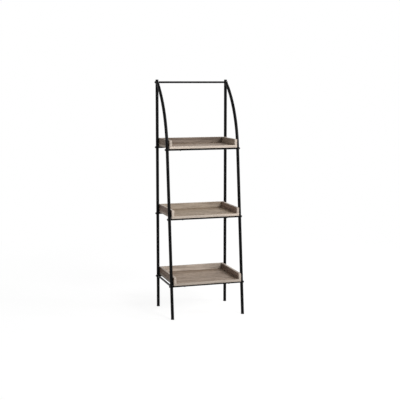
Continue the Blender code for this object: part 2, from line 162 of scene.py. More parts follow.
@dataclass
class Shell:
    """One closed surface, as rows of points that each close on themselves.

    Attributes:
        rows: Points of each row, as an array of rows x columns x 3.
        looped: Whether the last row joins the first. If not, the ends are flat faces.
        band: How far each row lies on a board's narrow edge, from 0 to 1.
    """

    rows: np.ndarray
    looped: bool = False
    band: np.ndarray | None = None

    def quads(self) -> np.ndarray:
        """Numbers the corners of the faces between neighbouring rows.

        Returns:
            Four corner numbers for each face.
        """
        count, columns = self.rows.shape[:2]
        index = np.arange(count * columns).reshape(count, columns)
        low, high = (index, np.roll(index, -1, axis=0)) if self.looped else (index[:-1], index[1:])
        corners = (low, np.roll(low, -1, axis=1), np.roll(high, -1, axis=1), high)
        return np.stack(corners, axis=-1).reshape(-1, 4)

    def ends(self) -> list[np.ndarray]:
        """Numbers the corners of the two flat ends.

        Returns:
            The corner numbers of each end, or nothing for a looped shell.
        """
        if self.looped:
            return []
        count, columns = self.rows.shape[:2]
        first = np.arange(columns)
        return [first[::-1], first + (count - 1) * columns]

    def is_inside_out(self) -> bool:
        """Tells whether the faces point inwards.

        The signed volume is a sixth of the sum, over all triangles, of the box
        product of their corners. It is negative where the faces point inwards.

        Returns:
            True if the signed volume is negative.
        """
        quads = self.quads()
        triangles = [quads[:, (0, 1, 2)], quads[:, (0, 2, 3)]]
        for end in self.ends():
            hub = np.full(len(end) - 2, end[0])
            triangles.append(np.stack((hub, end[1:-1], end[2:]), axis=-1))
        a, b, c = np.moveaxis(self.rows.reshape(-1, 3)[np.concatenate(triangles)], 1, 0)
        return float(np.sum(a * np.cross(b, c))) < 0

    def faces(self, start: int) -> list[list[int]]:
        """Lists the faces with their corners in outward order.

        Args:
            start: Number of the shell's first point in the mesh.

        Returns:
            The corner numbers of each face.
        """
        step = -1 if self.is_inside_out() else 1
        faces = (self.quads()[:, ::step] + start).tolist()
        return faces + [(end[::step] + start).tolist() for end in self.ends()]

    def moved(self, offset: Triple) -> "Shell":
        """Returns the shell moved by an offset."""
        return Shell(self.rows + np.array(offset), self.looped, self.band)

    def placed(self, matrix: Matrix) -> "Shell":
        """Returns the shell turned and moved by a 4 x 4 matrix."""
        values = np.array(matrix)
        return Shell(self.rows @ values[:3, :3].T + values[:3, 3], self.looped, self.band)


def build_mesh(name: str, shells: list[Shell]) -> bpy.types.Mesh:
    """Puts shells into one mesh, shaded smooth up to the sharp angle.

    Args:
        name: Name of the mesh.
        shells: The closed surfaces.

    Returns:
        The mesh, with the share of narrow edge of each point as an attribute.
    """
    points: list[np.ndarray] = []
    faces: list[list[int]] = []
    band: list[np.ndarray] = []
    start = 0
    for shell in shells:
        rows, columns = shell.rows.shape[:2]
        points.append(shell.rows.reshape(-1, 3))
        faces += shell.faces(start)
        band.append(np.repeat(np.zeros(rows) if shell.band is None else shell.band, columns))
        start += rows * columns
    mesh = bpy.data.meshes.new(name)
    mesh.from_pydata(np.concatenate(points).tolist(), [], faces)
    attribute = mesh.attributes.new(EDGE_BAND, "FLOAT", "POINT")
    attribute.data.foreach_set("value", np.concatenate(band).astype(np.float32))
    mesh.shade_smooth()
    mesh.set_sharp_from_angle(angle=SHARP_ANGLE)
    return mesh


def add_piece(name: str, shells: list[Shell], dress: Dress, node: str) -> None:
    """Adds a finished piece, at the origin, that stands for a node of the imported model.

    Args:
        name: Name of the piece.
        shells: Its closed surfaces, in place.
        dress: What it is dressed in.
        node: The node that it replaces.
    """
    mesh = build_mesh(name, shells)
    mesh.materials.append(dress.material)
    piece = bpy.data.objects.new(name, mesh)
    bpy.context.scene.collection.objects.link(piece)
    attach(piece, "root")
    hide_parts(node)
    LOG.info("%s: %d faces for %s", name, len(mesh.polygons), node)


def middle(node: str) -> Vector:
    """Returns the middle of a node's box."""
    low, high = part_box(node)
    return (low + high) / 2


def half_width(node: str) -> float:
    """Returns half the width of a node's box."""
    low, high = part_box(node)
    return (high - low).x / 2


def turns(count: int) -> np.ndarray:
    """Returns count angles that go once round, from 0."""
    return np.arange(count) * (2 * math.pi / count)


def revolve(profile: np.ndarray, count: int) -> np.ndarray:
    """Turns a profile about the Z axis.

    A point at radius r and height h becomes (r cos t, r sin t, h) for each turn t.

    Args:
        profile: Radius and height of each row.
        count: Points round each row.

    Returns:
        The points, as rows x count x 3.
    """
    angle = turns(count)
    radius, height = profile[:, :1], profile[:, 1:]
    wide = np.broadcast_to(height, (len(profile), count))
    return np.stack((radius * np.cos(angle), radius * np.sin(angle), wide), axis=-1)


def quarter(centre: Pair, size: Pair, start: float, steps: int) -> np.ndarray:
    """Works out a quarter of an ellipse, anticlockwise: centre + (a cos t, b sin t).

    Args:
        centre: Middle of the ellipse.
        size: Its two half axes a and b.
        start: Angle t of its first point.
        steps: Number of steps in the quarter.

    Returns:
        The steps + 1 points.
    """
    angle = start + np.linspace(0, math.pi / 2, steps + 1)
    across = centre[0] + size[0] * np.cos(angle)
    return np.stack((across, centre[1] + size[1] * np.sin(angle)), axis=-1)


def bead(curve: np.ndarray, normal: np.ndarray, radius: np.ndarray) -> Shell:
    """Lays a round bead along a closed curve.

    With T the curve's direction and N the part of the normal square to it, a
    point of the bead is the curve's point + radius (cos p N + sin p T x N).

    Args:
        curve: Points of the closed curve.
        normal: The outward direction of the tube that the curve lies on, at each point.
        radius: Radius of the bead at each point.

    Returns:
        The bead as a looped shell.
    """
    along = np.roll(curve, -1, axis=0) - np.roll(curve, 1, axis=0)
    along /= np.linalg.norm(along, axis=1, keepdims=True)
    out = normal - np.sum(normal * along, axis=1, keepdims=True) * along
    out /= np.linalg.norm(out, axis=1, keepdims=True)
    other = np.cross(along, out)
    p = turns(BEAD_POINTS)[None, :, None]
    ring = np.cos(p) * out[:, None] + np.sin(p) * other[:, None]
    return Shell(curve[:, None] + radius[:, None, None] * ring, looped=True)


@dataclass(frozen=True)
class Noise:
    """A noise pattern.

    Attributes:
        scale: Its features per metre, in all directions or along each axis.
        detail: Number of finer layers that it carries.
        roughness: Strength of each finer layer against the one before.
    """

    scale: float | Triple
    detail: float
    roughness: float


@dataclass(frozen=True)
class Relief:
    """How a pattern stands out of its surface.

    Attributes:
        depth: Its depth.
        strength: How much of it shows, from 0 to 1.
    """

    depth: float
    strength: float


class Graph:
    """A node tree, with short calls that add and join nodes.

    Attributes:
        tree: The node tree.
    """

    def __init__(self, tree: bpy.types.NodeTree) -> None:
        """Takes up a node tree."""
        self.tree = tree

    def add(self, kind: str, inputs: dict[int | str, Value] | None = None, **settings: str) -> bpy.types.Node:
        """Adds a node.

        Args:
            kind: Name of the node's type.
            inputs: What each input takes, by the input's name or number.
            **settings: The node's own settings.

        Returns:
            The node.
        """
        node = self.tree.nodes.new(kind)
        for key, value in settings.items():
            setattr(node, key, value)
        for key, value in (inputs or {}).items():
            self.plug(node.inputs[key], value)
        return node

    def plug(self, socket: Socket, value: Value) -> None:
        """Links an output to a socket, or sets the socket's own value.

        Args:
            socket: The input.
            value: What it takes.
        """
        if isinstance(value, Socket):
            self.tree.links.new(value, socket)
        else:
            socket.default_value = value

    def place(self) -> Socket:
        """Returns the Object coordinates."""
        return self.add("ShaderNodeTexCoord").outputs["Object"]

    def math(self, operation: str, a: Value, b: Value = 0.0) -> Socket:
        """Returns the result of a Math node on a and b."""
        return self.add("ShaderNodeMath", {0: a, 1: b}, operation=operation).outputs[0]

    def total(self, *parts: tuple[Socket, float]) -> Socket:
        """Adds up values, each times its share.

        Args:
            *parts: Value and share of each part.

        Returns:
            The sum.
        """
        total: Value = 0.0
        for value, share in parts:
            inputs = {0: value, 1: share, 2: total}
            total = self.add("ShaderNodeMath", inputs, operation="MULTIPLY_ADD").outputs[0]
        return total

    def spread(
        self, value: Value, span: Pair, onto: tuple[Value, Value] = WHOLE, smooth: bool = False
    ) -> Socket:
        """Stretches a span of values over another, and holds its ends beyond the span.

        Args:
            value: The value.
            span: The values to stretch.
            onto: What the span's two ends become, as numbers or outputs.
            smooth: Whether it leaves and reaches the ends gently.

        Returns:
            The stretched value.
        """
        # By number, because a Map Range node has inputs for vectors by the same names
        inputs = {0: value, 1: span[0], 2: span[1], 3: onto[0], 4: onto[1]}
        kind = "SMOOTHSTEP" if smooth else "LINEAR"
        return self.add("ShaderNodeMapRange", inputs, interpolation_type=kind).outputs[0]

    def noise(self, place: Socket, pattern: Noise) -> Socket:
        """Adds a noise texture.

        Args:
            place: The coordinates, which a scale along each axis stretches first.
            pattern: The noise pattern.

        Returns:
            Its value.
        """
        scale = pattern.scale
        if isinstance(scale, tuple):
            place = self.add("ShaderNodeMapping", {"Vector": place, "Scale": scale}).outputs[0]
            scale = 1.0
        inputs = {"Vector": place, "Scale": scale, "Detail": pattern.detail, "Roughness": pattern.roughness}
        return self.add("ShaderNodeTexNoise", inputs).outputs[0]

    def ramp(self, value: Socket, stops: Sequence[tuple[float, Triple]]) -> Socket:
        """Blends between colours by a value.

        Args:
            value: The value, from 0 to 1.
            stops: Place and linear colour of each stop.

        Returns:
            The colour.
        """
        node = self.add("ShaderNodeValToRGB", {0: value})
        elements = node.color_ramp.elements
        # A new stop starts halfway, and the loop after this one gives every stop its place
        while len(elements) < len(stops):
            elements.new(0.5)
        for element, (place, colour) in zip(elements, stops):
            element.position = place
            element.color = (*colour, 1.0)
        return node.outputs[0]

    def blend(self, factor: Value, a: Value, b: Value, mode: str = "MIX") -> Socket:
        """Blends two colours.

        Args:
            factor: How much of b is blended in.
            a: The first colour, as an output or three numbers.
            b: The second colour, as an output or three numbers.
            mode: Blending mode.

        Returns:
            The colour.
        """
        a, b = ((*part, 1.0) if isinstance(part, tuple) else part for part in (a, b))
        # A Mix node takes its two colours at inputs 6 and 7 and gives the mixed one at output 2
        inputs = {0: factor, 6: a, 7: b}
        return self.add("ShaderNodeMix", inputs, data_type="RGBA", blend_type=mode).outputs[2]

    def bump(self, height: Socket, relief: Relief, below: Socket | None = None) -> Socket:
        """Adds a bump.

        Args:
            height: Its height, from 0 to 1.
            relief: How it stands out.
            below: The bump that it lies on, if any.

        Returns:
            The normal.
        """
        inputs = {"Height": height, "Distance": relief.depth, "Strength": relief.strength}
        if below is not None:
            inputs["Normal"] = below
        return self.add("ShaderNodeBump", inputs).outputs[0]

    def seen_rays(self) -> Socket:
        """Picks out the rays by which the studio is seen, in itself or in gloss.

        Returns:
            1 for camera, glossy and transmission rays, and 0 for the rest.
        """
        path = self.add("ShaderNodeLightPath")
        seen = path.outputs["Is Camera Ray"]
        for name in ("Is Glossy Ray", "Is Transmission Ray"):
            seen = self.math("MAXIMUM", seen, path.outputs[name])
        return seen


class PieceGraph(Graph):
    """The nodes of a new material for a piece.

    Attributes:
        material: The material.
        shader: Its Principled BSDF.
    """

    def __init__(self, name: str) -> None:
        """Starts a material with a Principled BSDF.

        Args:
            name: Name of the material.
        """
        self.material = bpy.data.materials.new(name)
        self.material.use_nodes = True
        super().__init__(self.material.node_tree)
        self.shader = self.tree.nodes["Principled BSDF"]

    def dress(self, inputs: dict[str, Value]) -> bpy.types.Material:
        """Plugs the pattern into the shader.

        Args:
            inputs: What each of the shader's inputs takes, by the input's name.

        Returns:
            The material.
        """
        for name, value in inputs.items():
            self.plug(self.shader.inputs[name], value)
        return self.material


@dataclass(frozen=True)
class PowderCoat:
    """Satin black powder coat, with the fine orange peel that the cured powder has.

    Attributes:
        low, high: Darkest and lightest colour of its faint mottling.
        roughness: Range of its roughness.
        specular: Strength of its sheen.
        mottle: The mottling.
        peel, peel_relief: The orange peel.
        grit, grit_relief: The fine grit on it.
        peel_haze: How much the peel tells in the roughness. The mottling has the rest.
    """

    low: Triple = (0.0022, 0.0022, 0.0024)
    high: Triple = (0.0048, 0.0048, 0.0050)
    roughness: Pair = (0.24, 0.31)
    specular: float = 0.06
    mottle: Noise = Noise(26.0, 4.0, 0.6)
    peel: Noise = Noise(520.0, 2.0, 0.45)
    peel_relief: Relief = Relief(0.000012, 1.0)
    grit: Noise = Noise(2080.0, 1.0, 0.5)
    grit_relief: Relief = Relief(0.000002, 0.5)
    peel_haze: float = 0.3

    def material(self, name: str) -> bpy.types.Material:
        """Makes the coat.

        Args:
            name: Name of the material.

        Returns:
            The material.
        """
        graph = PieceGraph(name)
        place = graph.place()
        mottle, peel, grit = (graph.noise(place, part) for part in (self.mottle, self.peel, self.grit))
        haze = graph.total((mottle, 1 - self.peel_haze), (peel, self.peel_haze))
        return graph.dress({
            "Base Color": graph.blend(graph.spread(mottle, NOISE_SPAN), self.low, self.high),
            "Roughness": graph.spread(haze, NOISE_SPAN, self.roughness),
            "Normal": graph.bump(grit, self.grit_relief, graph.bump(peel, self.peel_relief)),
            "Specular IOR Level": self.specular,
        })


@dataclass(frozen=True)
class MouldedPlastic:
    """Matt black moulded plastic with a fine spark-eroded grain.

    Attributes:
        low, high: Darkest and lightest colour.
        roughness: Range of its roughness, from the tops of the grains to their edges.
        specular: Strength of its sheen.
        flow: The broad clouds that the melt leaves in the colour.
        grain_scale: Grains per metre.
        grain_span: Distances from a grain's middle that the roughness goes by.
        grain_relief: How the grain stands out.
    """

    low: Triple = (0.0080, 0.0080, 0.0080)
    high: Triple = (0.0170, 0.0170, 0.0165)
    roughness: Pair = (0.62, 0.46)
    specular: float = 0.20
    flow: Noise = Noise(140.0, 3.0, 0.6)
    grain_scale: float = 1500.0
    grain_span: Pair = (0.1, 0.7)
    grain_relief: Relief = Relief(0.00006, 0.6)

    def material(self, name: str) -> bpy.types.Material:
        """Makes the plastic.

        Args:
            name: Name of the material.

        Returns:
            The material.
        """
        graph = PieceGraph(name)
        place = graph.place()
        flow = graph.noise(place, self.flow)
        inputs = {"Vector": place, "Scale": self.grain_scale}
        grain = graph.add("ShaderNodeTexVoronoi", inputs, feature="SMOOTH_F1").outputs[0]
        return graph.dress({
            "Base Color": graph.blend(graph.spread(flow, NOISE_SPAN), self.low, self.high),
            "Roughness": graph.spread(grain, self.grain_span, self.roughness),
            "Normal": graph.bump(grain, self.grain_relief),
            "Specular IOR Level": self.specular,
        })


@dataclass(frozen=True)
class BlackSteel:
    """Steel with a thin black oxide, paler where tools and handling have rubbed it.

    Attributes:
        low, high: Colour of the oxide and of the rubbed steel.
        roughness: Roughness of the oxide and of the rubbed steel.
        metallic: How metallic it is.
        specular: Strength of its sheen.
        marks: The rub marks.
        rubbed: Values of the marks over which the oxide gives way to the steel.
        fine, fine_relief: The fine unevenness of the surface.
    """

    low: Triple = (0.0160, 0.0160, 0.0165)
    high: Triple = (0.0520, 0.0510, 0.0500)
    roughness: Pair = (0.44, 0.28)
    metallic: float = 0.6
    specular: float = 0.25
    marks: Noise = Noise(520.0, 5.0, 0.62)
    rubbed: Pair = (0.52, 0.78)
    fine: Noise = Noise(3120.0, 2.0, 0.5)
    fine_relief: Relief = Relief(0.00003, 0.4)

    def material(self, name: str) -> bpy.types.Material:
        """Makes the steel.

        Args:
            name: Name of the material.

        Returns:
            The material.
        """
        graph = PieceGraph(name)
        place = graph.place()
        marks = graph.noise(place, self.marks)
        return graph.dress({
            "Base Color": graph.blend(graph.spread(marks, self.rubbed), self.low, self.high),
            "Roughness": graph.spread(marks, NOISE_SPAN, self.roughness),
            "Normal": graph.bump(graph.noise(place, self.fine), self.fine_relief),
            "Metallic": self.metallic,
            "Specular IOR Level": self.specular,
        })


@dataclass(frozen=True)
class BoardToneAndShade:
    """How one board's colour is multiplied: partly its own tone, as no two boards are alike, and partly
    painted light and shade.

    Attributes:
        tint: What the colour of its faces is multiplied by.
        edge: What the colour of its narrow edges is multiplied by.
    """

    tint: Triple
    edge: float


@dataclass(frozen=True)
class Driftwood:
    """Wood-grain laminate in weathered grey brown, with a paler band on the narrow edges.

    The pattern lies in the board's own grain direction. Growth rings are the
    distance from a line under the board, over the ring spacing, and streaks and
    pores are noise drawn out along the grain.

    Attributes:
        grain: Direction of the grain.
        shift: Where on the endless pattern this board is cut from.
        tone: How this board differs from the rest, in its own tone and in painted light and shade.
        stops: Place and colour of each tone of the grain, from its darkest up.
        wash, wash_colour: The grey that weather leaves in broad clouds.
        wash_span, wash_most: Values that the clouds begin and end at, and their most.
        edge_colour: Colour of the narrow edges.
        edge_stops: Place of each tone of the edges, and what it multiplies the colour by.
        roughness: Roughness of the valleys and the crests of the streaks.
        specular: Strength of its sheen.
        sway, sway_reach: The slow waves that the grain runs in, and how far they reach.
        broad, streaks, fibres: The grain, from its broad bands to its fibres.
        shares: How much the bands, streaks, fibres and rings tell in the tone.
        tone_span: Values of their sum over which the tone goes from 0 to 1.
        pores, pore_span, pore_colour: The open pores, and the values that are pores.
        pore_tone: How much of their colour the pores take on.
        pore_sink: How deep the pores lie against the fibres.
        ring_spacing: Distance between growth rings.
        ring_slope: Slope of the line under the board.
        ring_waves, ring_reach: The waves in the rings, and how far they reach.
        late_span: Where in a ring the late wood begins and is darkest.
        band_span: Values of the edge band over which the edge takes over from the face.
        seam_span, seam_most: The seam's values between face and edge, and its most.
        seam_colour: Colour of the seam.
        tone_relief, fibre_relief: How the tone and the fibres stand out.
    """

    grain: Axis
    shift: Triple
    tone: BoardToneAndShade
    stops: tuple[tuple[float, Triple], ...] = (
        (0.00, (0.098, 0.068, 0.048)),
        (0.24, (0.222, 0.168, 0.125)),
        (0.50, (0.354, 0.280, 0.215)),
        (0.78, (0.474, 0.386, 0.304)),
        (1.00, (0.618, 0.524, 0.428)),
    )
    wash: Noise = Noise((3.0, 11.0, 11.0), 2.0, 0.5)
    wash_colour: Triple = (0.310, 0.260, 0.222)
    wash_span: Pair = (0.35, 0.75)
    wash_most: float = 0.30
    edge_colour: Triple = (0.540, 0.462, 0.394)
    edge_stops: tuple[Pair, ...] = ((0.0, 0.62), (0.55, 1.0), (1.0, 1.16))
    roughness: Pair = (0.66, 0.52)
    specular: float = 0.14
    sway: Noise = Noise((4.0, 14.0, 14.0), 2.0, 0.5)
    sway_reach: float = 0.010
    broad: Noise = Noise((4.5, 62.0, 62.0), 4.0, 0.55)
    streaks: Noise = Noise((7.0, 300.0, 300.0), 4.0, 0.6)
    fibres: Noise = Noise((45.0, 1900.0, 1900.0), 2.0, 0.6)
    shares: tuple[float, float, float, float] = (1.10, 0.77, 0.22, -0.16)
    tone_span: Pair = (0.66, 1.36)
    pores: Noise = Noise((70.0, 1300.0, 1300.0), 1.0, 0.4)
    pore_span: Pair = (0.30, 0.38)
    pore_colour: Triple = (0.098, 0.068, 0.048)
    pore_tone: float = 0.45
    pore_sink: float = 0.8
    ring_spacing: float = 0.0072
    ring_slope: float = 0.16
    ring_waves: Noise = Noise((5.0, 26.0, 26.0), 3.0, 0.55)
    ring_reach: float = 0.030
    late_span: Pair = (0.55, 0.92)
    band_span: Pair = (0.35, 0.65)
    seam_span: Pair = (0.72, 1.0)
    seam_most: float = 0.5
    seam_colour: Triple = (0.222, 0.168, 0.125)
    tone_relief: Relief = Relief(0.00012, 0.45)
    fibre_relief: Relief = Relief(0.00008, 0.5)

    def along_grain(self, graph: Graph) -> Socket:
        """Turns the Object coordinates so that X runs along the grain.

        Args:
            graph: The material's nodes.

        Returns:
            The coordinates, moved to where the board is cut from.
        """
        turn = -math.pi / 2 if self.grain is Axis.Y else 0.0
        inputs = {"Vector": graph.place(), "Location": self.shift, "Rotation": (0.0, 0.0, turn)}
        return graph.add("ShaderNodeMapping", inputs).outputs[0]

    def swayed(self, graph: Graph, place: Socket) -> Socket:
        """Moves the coordinates sideways in slow waves.

        Args:
            graph: The material's nodes.
            place: Coordinates along the grain.

        Returns:
            The coordinates + (0, reach x noise, 0).
        """
        sway = graph.math("MULTIPLY", graph.noise(place, self.sway), self.sway_reach)
        aside = graph.add("ShaderNodeCombineXYZ", {1: sway}).outputs[0]
        return graph.add("ShaderNodeVectorMath", {0: place, 1: aside}, operation="ADD").outputs[0]

    def rings(self, graph: Graph, place: Socket) -> Socket:
        """Draws the growth rings as flat-sawn boards show them.

        The distance is sqrt(y^2 + (z + slope x)^2), which makes long arches where
        the line under the board slopes towards its face. A saw of it over the
        spacing climbs slowly through the early wood and drops at the late wood.

        Args:
            graph: The material's nodes.
            place: Coordinates along the grain.

        Returns:
            The rings' darkness, from 0 to 1.
        """
        parts = graph.add("ShaderNodeSeparateXYZ", {0: place}).outputs
        depth = graph.total((parts[2], 1.0), (parts[0], self.ring_slope))
        aside, down = (graph.math("MULTIPLY", part, part) for part in (parts[1], depth))
        square = graph.math("ADD", aside, down)
        waves = graph.noise(place, self.ring_waves)
        reach = graph.total((graph.math("SQRT", square), 1.0), (waves, self.ring_reach))
        saw = graph.math("FRACT", graph.math("DIVIDE", reach, self.ring_spacing))
        drop = graph.spread(saw, (self.late_span[1], 1.0), (1.0, 0.0))
        return graph.math("MULTIPLY", graph.spread(saw, self.late_span), drop)

    def face(self, graph: Graph, place: Socket, tone: Socket, pores: Socket) -> Socket:
        """Colours the faces: the grain, its pores, the grey wash and the board's tint, which paints light and
        shade as well as the board's own tone.

        Args:
            graph: The material's nodes.
            place: Coordinates along the grain.
            tone: Tone of the grain, from 0 to 1.
            pores: 1 in a pore and 0 outside.

        Returns:
            The colour.
        """
        colour = graph.ramp(tone, self.stops)
        colour = graph.blend(graph.math("MULTIPLY", pores, self.pore_tone), colour, self.pore_colour)
        wash = graph.spread(graph.noise(place, self.wash), self.wash_span, (0.0, self.wash_most))
        colour = graph.blend(wash, colour, self.wash_colour)
        # The tint paints light and shade on the board's faces as well as its own tone
        return graph.blend(1.0, colour, self.tone.tint, "MULTIPLY")

    def edge(self, graph: Graph, tone: Socket) -> Socket:
        """Colours the band on the narrow edges, which has the same grain but paler, times the board's edge
        value, which paints light and shade as well as the board's own tone.

        Args:
            graph: The material's nodes.
            tone: Tone of the grain, from 0 to 1.

        Returns:
            The colour.
        """
        stops = []
        for place, level in self.edge_stops:
            stops.append((place, tuple(level * part for part in self.edge_colour)))
        # The edge value paints light and shade on the board's edges as well as its own tone
        return graph.blend(1.0, graph.ramp(tone, stops), (self.tone.edge,) * 3, "MULTIPLY")

    def material(self, name: str) -> bpy.types.Material:
        """Makes the laminate.

        The seam between face and edge is 1 - |2 band - 1|, which is 1 where the
        band is one half.

        Args:
            name: Name of the material.

        Returns:
            The material.
        """
        graph = PieceGraph(name)
        place = self.along_grain(graph)
        swayed = self.swayed(graph, place)
        patterns = (self.broad, self.streaks, self.fibres)
        broad, streaks, fibres = (graph.noise(swayed, pattern) for pattern in patterns)
        parts = (broad, streaks, fibres, self.rings(graph, swayed))
        tone = graph.spread(graph.total(*zip(parts, self.shares)), self.tone_span)
        pores = graph.spread(graph.noise(swayed, self.pores), self.pore_span, (1.0, 0.0))
        band = graph.add("ShaderNodeAttribute", attribute_name=EDGE_BAND).outputs["Fac"]
        face, edge = self.face(graph, place, tone, pores), self.edge(graph, tone)
        colour = graph.blend(graph.spread(band, self.band_span), face, edge)
        off_seam = graph.math("ABSOLUTE", graph.math("SUBTRACT", graph.math("MULTIPLY", band, 2.0), 1.0))
        seam = graph.spread(graph.math("SUBTRACT", 1.0, off_seam), self.seam_span, (0.0, self.seam_most))
        fine = graph.total((fibres, 1.0), (pores, -self.pore_sink))
        return graph.dress({
            "Base Color": graph.blend(seam, colour, self.seam_colour),
            "Roughness": graph.spread(streaks, NOISE_SPAN, self.roughness),
            "Normal": graph.bump(fine, self.fibre_relief, graph.bump(tone, self.tone_relief)),
            "Specular IOR Level": self.specular,
        })


@dataclass
class LegPath:
    """A front leg's axis: a straight leaning run and a tangent arc over to the post.

    Attributes:
        foot_y: Y of the axis on the floor.
        post_y: Y of the post's axis.
        top: Height of the tops of the posts' caps.
        joint_drop: How far below that the arc ends on the post's axis.
        lean: Angle between the straight run and the vertical.
        radius: Radius of the arc.
        bend: Y and Z of the end of the straight run.
        centre: Y and Z of the arc's centre.
    """

    foot_y: float
    post_y: float
    top: float
    joint_drop: float = 0.0095
    lean: float = math.radians(5.93)
    radius: float = 0.594
    bend: np.ndarray = field(init=False)
    centre: np.ndarray = field(init=False)

    def __post_init__(self) -> None:
        """Finds the bend and the arc's centre.

        The centre lies one radius square to the run, and as far up it as makes
        the arc end where it meets the post's axis.
        """
        foot = np.array((self.foot_y, 0.0))
        inward = np.array((math.cos(self.lean), -math.sin(self.lean)))
        meeting = np.array((self.post_y, self.top - self.joint_drop))
        offset = meeting - foot - self.radius * inward
        along = offset @ self.run
        root = math.sqrt(along ** 2 - offset @ offset + self.radius ** 2)
        self.bend = foot + (along - root) * self.run
        self.centre = self.bend + self.radius * inward

    @property
    def run(self) -> np.ndarray:
        """The straight run's upward direction, as Y and Z."""
        return np.array((math.sin(self.lean), math.cos(self.lean)))

    def lean_at(self, height: float) -> float:
        """Works out the axis's lean at a height.

        Args:
            height: The height, below the arc's end.

        Returns:
            The angle between the axis and the vertical.
        """
        if height <= self.bend[1]:
            return self.lean
        return math.asin((height - self.centre[1]) / self.radius)

    def run_y(self, height: float | np.ndarray) -> float | np.ndarray:
        """Returns the Y of the straight run's axis at a height or at many."""
        return self.foot_y + height * math.tan(self.lean)

    def y_at(self, height: float) -> float:
        """Works out the Y of the axis at a height.

        Args:
            height: The height, below the arc's end.

        Returns:
            Its Y, on the run or on the arc.
        """
        if height <= self.bend[1]:
            return self.run_y(height)
        return self.centre[0] - self.radius * math.cos(self.lean_at(height))

    def wall(self, section: float, start: float, post_reach: float) -> np.ndarray:
        """Works out a wall of the leg's tube, from its start to the post.

        With x = s cos t across and n = s sin t out from the curve's centre, a
        point of the run is foot + u run + n (-cos lean, sin lean), and one of
        the arc is centre + (radius + n) (-cos a, sin a). Each column's last
        angle is where it comes within reach of the post's axis.

        Args:
            section: Radius s of the wall.
            start: Distance u of the tube's end from the foot.
            post_reach: Distance from the post's axis at which the leg ends.

        Returns:
            The points, as rows x columns x 3, about X 0.
        """
        t = turns(TUBE_POINTS)
        across, out = section * np.cos(t), section * np.sin(t)
        length = float(np.linalg.norm(self.bend - (self.foot_y, 0.0)))
        u = np.linspace(start, length, STRAIGHT_STEPS, endpoint=False)[:, None]
        run_y = self.foot_y + u * self.run[0] - out * math.cos(self.lean)
        run_z = u * self.run[1] + out * math.sin(self.lean)
        end_y = self.centre[0] - self.post_y + np.sqrt(post_reach ** 2 - across ** 2)
        last = np.arccos(end_y / (self.radius + out))
        a = self.lean + (last - self.lean) * np.linspace(0, 1, ARC_STEPS + 1)[:, None]
        arc_y = self.centre[0] - (self.radius + out) * np.cos(a)
        arc_z = self.centre[1] + (self.radius + out) * np.sin(a)
        y, z = np.concatenate((run_y, arc_y)), np.concatenate((run_z, arc_z))
        return np.stack((np.broadcast_to(across, y.shape), y, z), axis=-1)


